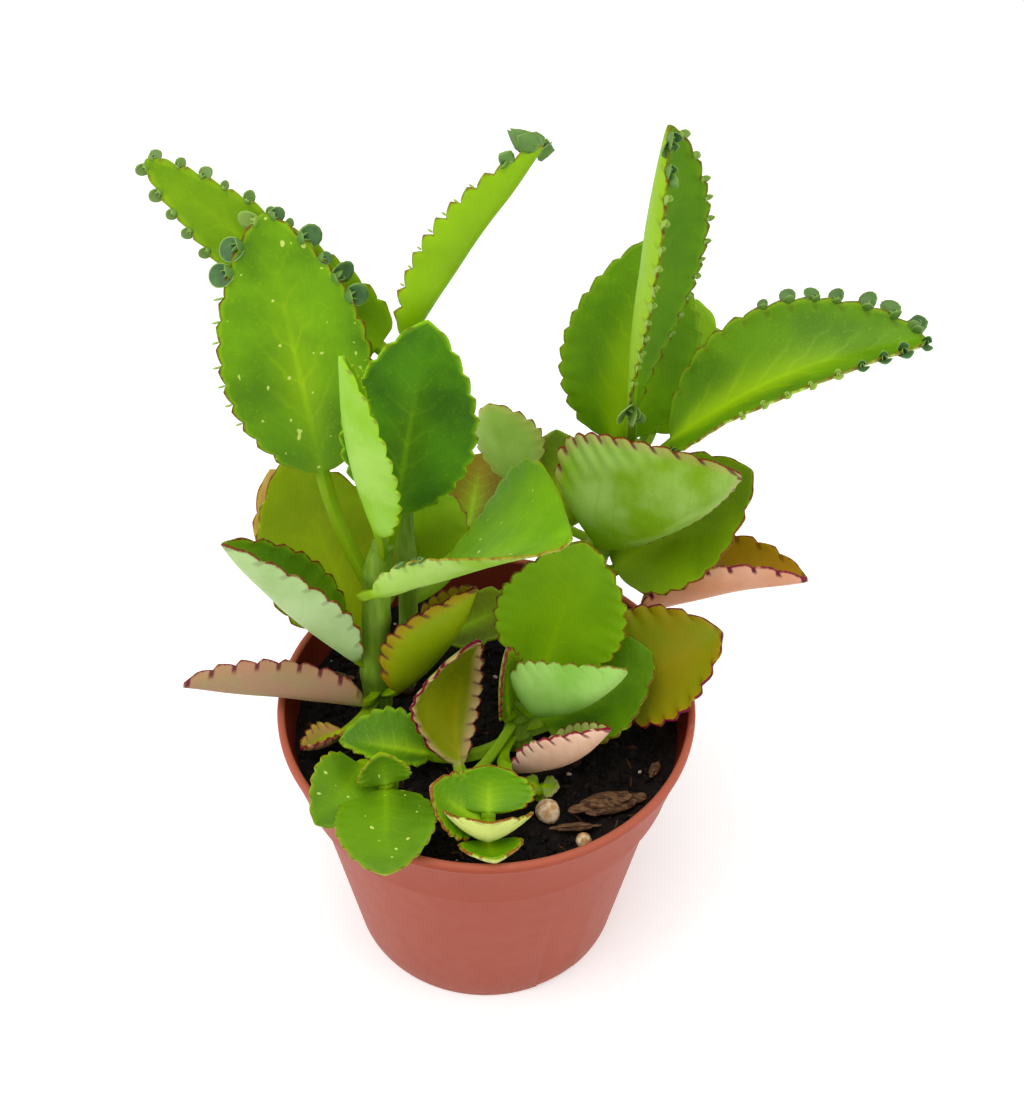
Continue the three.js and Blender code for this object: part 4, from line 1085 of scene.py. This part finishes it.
def leaf_finish(name, look):
    """The finish of one leaf, out of its colours and the strength of its marks."""
    seed = name_seed(name)
    tint = {key: paint(value) for key, value in look.items() if isinstance(value, str)}

    def changing(wire):
        along, edge, rib = (wire.attribute(key) for key in ("along", "edge", "rib"))
        tooth, upper, share = (wire.attribute(key) for key in ("tooth", "upper", "share"))
        cloud = wire.grain(14, 3, shift=(seed, 0, 0))
        fleck = wire.grain(0.7, 2, shift=(0, seed, 0))
        cells = wire.grain(0.25, 2)
        # side veins leave the midrib in pairs and bend towards the tip
        drift = wire.grain(5, 2, shift=(0, 0, seed)) - 0.5
        vein_place = (along * 7 - abs(rib) * 0.16 + drift * 0.9).fraction()
        vein = abs(vein_place - 0.5).over(0.16, 0.0) * abs(share).over(0.9, 0.4)
        rib_line = abs(rib).over(1.1, 0.1) * along.over(0.9, 0.3)
        # where the painted sheen lies: the middle of the blade, away from the margins and the tip
        glow = abs(share).over(0.62, 0.0) * along.over(1.05, 0.25) * along.over(-0.3, 0.1)
        green = wire.mix(cloud.over(0.3, 0.7), tint["deep"], tint["upper"])
        # painted sheen across the blade's middle, its strength set per leaf by shine; the midrib and vein
        # lines added to it are the leaf's own paler lines
        shine = glow * look["shine"] + rib_line * 0.2 + vein * 0.12
        green = wire.mix(shine.over(0, 1), green, tint["glow"])
        # painted shade: the upper face darkens towards the stalk, by each leaf's own strength
        green = wire.mix(along.over(0.4, 0.02) * look["painted_base_shade"], green, tint["deep"])
        green = wire.mix(fleck.over(0.58, 0.72) * 0.22, green, tint["glow"])
        green = wire.mix(edge.over(1.5, 0.5) * 0.35, green, tint["glow"])
        pale = wire.mix(cloud.over(0.3, 0.7), tint["shade"], tint["under"])
        pale = wire.mix((along.over(0.25, -0.1) + rib_line * 0.3) * 0.7, pale, tint["shade"])
        pale = wire.mix(vein * 0.2, pale, tint["shade"])
        pale = wire.mix(cells.over(0.6, 0.72) * 0.15, pale, paint("#f2f6dc"))
        colour = wire.mix(upper, pale, green)
        # water drops: their pale spots are a painted glint, while their lower roughness below is real
        drop = wire.grain(1.5, 0, shift=(seed, seed, 0)).over(0.79, 0.82) * look["dew"]
        colour = wire.mix(drop, colour, paint("#dfe8a8"))
        # an aged margin has a dull band, dashes at the notches and a dark line
        ragged = edge + (fleck - 0.5) * 0.8
        band = ragged.over(4.5, 0.5) * look["band"] * 0.8
        colour = wire.mix(band, colour, tint["blush"])
        notch = abs((tooth + drift * 0.12 + 0.5).fraction() - 0.5)
        dash = notch.over(0.16, 0.06) * ragged.over(3.2, 1.4) * along.over(0, 0.05)
        old = 1 - 0.45 * upper
        colour = wire.mix(dash * old * look["marks"], colour, tint["mark"])
        line = ragged.over(0.6, 0.15) * along.over(0.0, 0.06)
        colour = wire.mix(line * look["line"] * wire.grain(3, 2).over(0.3, 0.5), colour, tint["rim"])
        point = abs(tooth.fraction() - TOOTH_POINT).over(0.16, 0.03) * edge.over(0.8, 0.2)
        point = point * look["line"] * 0.8 * along.over(0.0, 0.06)
        colour = wire.mix(point, colour, paint("#6a3a2c"))
        colour = wire.mix(along.over(0.1, -0.12), colour, tint["stalk"])
        colour = wire.node("HueSaturation", {}, {"Color": colour, "Saturation": 1.35, "Value": 0.92})
        relief = cells * 0.25 + fleck * 0.35 - vein * 0.25 * upper + cloud * 0.5
        return {"Base Color": colour,
                "Roughness": 0.42 + 0.14 * cloud + 0.08 * cells - 0.06 * vein - 0.25 * drop,
                "Normal": wire.bump(relief, 0.09)}

    return finish(name + "_finish", changing, Specular_IOR_Level=0.18)


# %% The large leaves
for name, leaf in LEAVES.items():
    body = leafy_mesh()
    look = {**FRESH, **LOOKS[name]}
    add_leaf(body, leaf, ruffle=look["ruffle"])
    piece(name + "_blade", closed(body), leaf_finish(name, look), SLOTS[name], name)

# %% Stem finish and the four stems
def stem_skin(wire):
    streak = wire.grain(1.2, 3, stretch=(1, 1, 0.12))
    ring = wire.attribute("joint")
    colour = wire.mix(streak.over(0.3, 0.7), paint("#668a16"), paint("#7d9e2c"))
    colour = wire.mix(ring * 0.4, colour, paint("#56731a"))
    colour = wire.mix(wire.grain(0.5, 2).over(0.68, 0.76) * 0.2, colour, paint("#a3bb62"))
    return {"Base Color": colour, "Roughness": 0.45 + 0.1 * streak,
            "Normal": wire.bump(streak, 0.12)}


stem_finish = finish("stem_skin", stem_skin, Specular_IOR_Level=0.3)
for name, stem in STEMS.items():
    body = leafy_mesh()
    add_stem(body, stem)
    piece(name + "_shoot", closed(body), stem_finish, SLOTS[name + "_stem"], name + "_stem")

# %% [markdown]
# ## Rooted plantlets
#
# Two plantlets that fell from a leaf have rooted at the front, and a seedling stands by the stone.
# Each is one small plant: a short stem with leaves of the same make as the large ones, joined in
# one mesh.

# %% Rooted plantlets
ROOTED = {
    "front_left_plantlet": dict(
        stem=dict(path=((-23, -22, 60), (-23, -24, 74), (-23, -28, 84)), radii=(1.8, 2, 1.4)),
        leaves=[
            shape(
                (-23, -26.5, 80), (-22.8, -33, 82.5), (-21, -57, 83.5), (0, -0.2, 1), 21.5, 0.15, 1, 8,
                blunt=0.55, tooth=0.6),
            shape(
                (-23, -26, 79), (-29.5, -26.5, 83), (-38.4, -43, 82.5), (0.5, -0.2, 0.85), 17, 0.5, 2, 7,
                tooth=0.7),
            shape(
                (-23, -28, 82), (-22.8, -32, 84.5), (-24, -30, 92.5), (0.1, -0.85, 0.5), 12, 0.7, -0.5, 5,
                blunt=0.5, tooth=0.6),
        ]),
    "front_plantlet": dict(
        stem=dict(path=((1, -35, 60), (1, -37, 72), (1.3, -38, 80)), radii=(1.8, 2, 1.4)),
        leaves=[
            shape(
                (1.3, -38, 79), (1.3, -37, 80.3), (1.5, -28.5, 87.5), (0.05, -0.75, 0.65), 20, 0.3, -1, 6,
                blunt=0.5, tooth=0.7),
            shape(
                (1.3, -38, 79), (1.3, -40, 79.5), (1.6, -46.5, 89), (0, 0.75, 0.6), 22, 0.8, -3, 6,
                blunt=0.4, tooth=0.7),
            shape(
                (1.2, -37.5, 76), (-1, -38, 78.5), (-11.5, -37.5, 90.5), (0.6, -0.3, 0.7), 15, 0.5, -1.5, 6,
                blunt=0.5),
            shape(
                (1.1, -37, 74), (1.5, -43, 77.5), (3.2, -51.8, 82.5), (0, 0.3, 0.95), 14, 0.5, -1, 5,
                blunt=0.5, tooth=0.7),
        ]),
    "seedling": dict(
        stem=dict(path=((13.6, -24, 64), (13.6, -24, 70), (13.6, -24, 74)), radii=(0.9, 0.9, 0.7)),
        leaves=[
            shape(
                (13.6, -24, 73), (14.6, -24, 73.8), (18, -24.5, 75.5), (-0.4, -0.1, 1), 4, 0.3, 0, 3,
                tooth=0.4),
            shape(
                (13.6, -24, 73), (12.6, -24, 73.8), (9.5, -23.5, 76), (0.4, -0.1, 1), 4, 0.3, 0, 3,
                tooth=0.4),
        ]),
}

SMALL_AROUND = 32
SMALL_STEM_SIDES = 18
SMALL_STEM_ROWS = 30
for name, plantlet in ROOTED.items():
    body = leafy_mesh()
    add_stem(body, plantlet["stem"], SMALL_STEM_SIDES, SMALL_STEM_ROWS)
    for leaf in plantlet["leaves"]:
        add_leaf(body, leaf, SMALL_AROUND)
    piece(name + "_leaves", closed(body), leaf_finish(name, {**FRESH, **LOOKS[name]}),
          SLOTS[name], name)

# %% [markdown]
# ## Plantlets on the margins
#
# The young plants on the margins are the kalanchoe's mark. Each sits in a notch as a pair of round
# leaves that open like two hands, with a smaller pair inside. They are tiny and many, so one leaf
# is a flattened ball of 48 faces, and of four times as many where it is long enough to show them.

# %% Plantlets on the margins
LEAFLET_THICKNESS = 0.5
LEAFLET_SIDES = 12
LEAFLET_ROWS = 4
LONG_LEAFLET = 6  # from this length on a leaflet is finer and thicker
ROSETTE_SINK = 0.12  # share of its size by which a rosette starts inside the blade
FIRST_PLACE = 0.02  # places along the blade between which plantlets grow
LAST_PLACE = 0.99
CROWDING = 0.6  # how far the further plantlets of one notch lean up or down
# quarter turns from the blade's upper side, share of the plantlet's size, degrees of opening
ROSETTE = ((2, 1.0, 30), (0, 0.62, 48), (1, 0.5, 18), (3, 0.5, 18))


def add_leaflet(bm, root, grow, face, length, cup=0.3, pointed=0.0, wide=0.9, light=0.0):
    """One round leaf: root is where it starts, grow its direction, face its upper side."""
    side = grow.cross(face)
    is_long = length > LONG_LEAFLET
    fine = 2 if is_long else 1
    made = bmesh.ops.create_uvsphere(bm, u_segments=LEAFLET_SIDES * fine,
                                     v_segments=LEAFLET_ROWS * fine, radius=1)["verts"]
    for vert in made:
        x, y, z = vert.co
        reach = math.hypot(x, y)
        narrow = 1 - pointed * max(y, 0) ** 1.5 - 0.25 * max(-y, 0) ** 2
        width = wide * length / 2 * x * narrow
        lift = z * LEAFLET_THICKNESS / 2 * (1 + 0.4 * is_long)
        lift += cup * length * (0.45 * x * x + 0.12 * y * abs(y))
        vert.co = (root + side * width + grow * (length * (y + 1) / 2) + face * lift) * MM
        note(bm, vert, share=reach, along=(y + 1) / 2, upper=float(z > 0),
             edge=(1 - reach) * length / 2, joint=light)


def add_rosette(bm, root, aim, up, size, rng, pointed=0.0, light=0.0):
    """Two pairs of leaves round the way the plantlet grows, the first one before and behind it."""
    first = rng.uniform(-0.5, 0.5)
    root = root - aim * ROSETTE_SINK * size
    for quarter, scale, spread in ROSETTE:
        swing = Quaternion(aim, first + quarter * math.pi / 2) @ up
        lean = math.radians(spread * rng.uniform(0.8, 1.2))
        grow = aim * math.cos(lean) + swing * math.sin(lean)
        face = aim * math.sin(lean) - swing * math.cos(lean)
        length = size * scale * rng.uniform(0.9, 1.1)
        add_leaflet(bm, root, grow, face, length, pointed=pointed, light=light)


def add_peg(bm, root, aim, length):
    """A short pale stub where a plantlet has dropped off."""
    face = aim.orthogonal().normalized()
    add_leaflet(bm, root, aim, face, length, cup=0.1, pointed=0.3, wide=0.42, light=1)


def margin_place(leaf, midrib, t, side):
    """A place on the margin, the direction out of the blade there, and the upper side."""
    half = half_blade(leaf, t, side)
    inside, normal = blade_point(leaf, midrib, t, side * (half - 0.5), half)
    outside, _ = blade_point(leaf, midrib, t, side * (half + 0.5), half)
    return inside, (outside - inside).normalized(), normal


# For each leaf: the stretches of margin with plantlets. The columns are the side of the midrib (-1
# left, 1 right), the first and last notch, the size at both ends of the stretch, and what else is
# special: pointed leaflets, many plantlets in one notch, light ones that are as green as the leaf,
# or only the peg that a fallen plantlet left.
MARGINS = {
    "left_leaf_folded": [
        (1, 2, 3, (2.4, 2.8), dict(many=2)),
    ],
    "left_leaf_tall": [
        (-1, 3, 9, (1.8, 2.4), dict(peg=True)),
        (-1, 10, 11, (6.6, 7.0), {}),
        (-1, 12, 12, (4.2, 4.2), dict(light=0.7)),
        (1, 8, 10, (6.8, 4.2), {}),
        (1, 11, 12, (6.4, 4.6), {}),
    ],
    "rear_leaf_arching": [
        (-1, 5, 12, (2.4, 3.4), dict(pointed=0.2, light=0.35)),
        (1, 5, 12, (2.4, 3.4), dict(pointed=0.2, light=0.35)),
    ],
    "rear_leaf_upright": [
        (-1, 2, 8, (1.2, 1.6), dict(peg=True)),
        (1, 2, 8, (1.2, 1.6), dict(peg=True)),
        (-1, 9, 10, (2.6, 4.0), dict(pointed=0.3, light=0.5)),
        (-1, 11, 11, (5.0, 5.0), dict(pointed=0.9, many=3)),
        (1, 10, 11, (4.4, 5.6), dict(pointed=0.9, many=3)),
    ],
    "right_leaf_folded": [
        (-1, 0, 0, (7.0, 7.0), dict(many=2, light=0.3)),
        (-1, 2, 12, (2.4, 3.0), dict(pointed=0.3, light=0.9)),
        (-1, 13, 14, (3.6, 4.6), dict(pointed=0.6, many=2)),
        (1, 4, 14, (1.6, 2.4), dict(pointed=0.4, light=0.6)),
    ],
    "right_leaf_arching": [
        (-1, 6, 11, (3.4, 5.4), dict(light=0.15)),
        (-1, 12, 12, (5.0, 5.0), dict(pointed=0.5, many=2)),
        (1, 0, 0, (2.6, 2.6), {}),
        (1, 4, 8, (2.0, 3.0), dict(light=0.9)),
        (1, 9, 12, (3.4, 4.8), dict(pointed=0.4)),
    ],
}


def plantlet_skin(wire):
    share, along, upper = (wire.attribute(key) for key in ("share", "along", "upper"))
    fresh = wire.attribute("joint")
    cloud = wire.grain(2.5, 3)
    blue_green = wire.mix(cloud.over(0.3, 0.7), paint("#33582a"), paint("#466f35"))
    light = wire.mix(cloud, paint("#4a722c"), paint("#648b3b"))
    colour = wire.mix(upper, light, blue_green)
    colour = wire.mix(fresh * 0.85, colour, paint("#93b23c"))
    colour = wire.mix(share.over(0.88, 1.0) * 0.8, colour, paint("#a3c25a"))
    colour = wire.mix(along.over(0.25, 0.0) * 0.5, colour, paint("#b3c97c"))
    return {"Base Color": colour, "Roughness": 0.4 + 0.15 * cloud,
            "Normal": wire.bump(wire.grain(0.4, 3), 0.05)}


plantlet_finish = finish("plantlet_skin", plantlet_skin, Specular_IOR_Level=0.35)
for name, stretches in MARGINS.items():
    leaf = LEAVES[name]
    midrib = Midrib(leaf)
    rng = random.Random(name_seed(name))
    body = leafy_mesh()
    for side, first, last, sizes, more in stretches:
        many = more.get("many", 1)
        for notch in range(first, last + 1):
            share = (notch - first) / max(last - first, 1)
            size = blend(*sizes, share) * rng.uniform(0.85, 1.1)
            for k in range(many):
                place = notch + rng.uniform(-0.1, 0.1) - 0.5 * k / many
                t = TEETH_START + TEETH_SPAN / leaf["teeth"] * place
                t = min(max(t, FIRST_PLACE), LAST_PLACE)
                root, aim, up = margin_place(leaf, midrib, t, side)
                if "peg" in more:
                    add_peg(body, root, aim, size)
                else:
                    aim = (aim + CROWDING * k * rng.uniform(-1, 1) * up).normalized()
                    add_rosette(body, root, aim, up, size, rng, more.get("pointed", 0),
                                more.get("light", 0))
    bmesh.ops.recalc_face_normals(body, faces=body.faces)
    piece(name + "_plantlets", body, plantlet_finish, SLOTS[name], name)
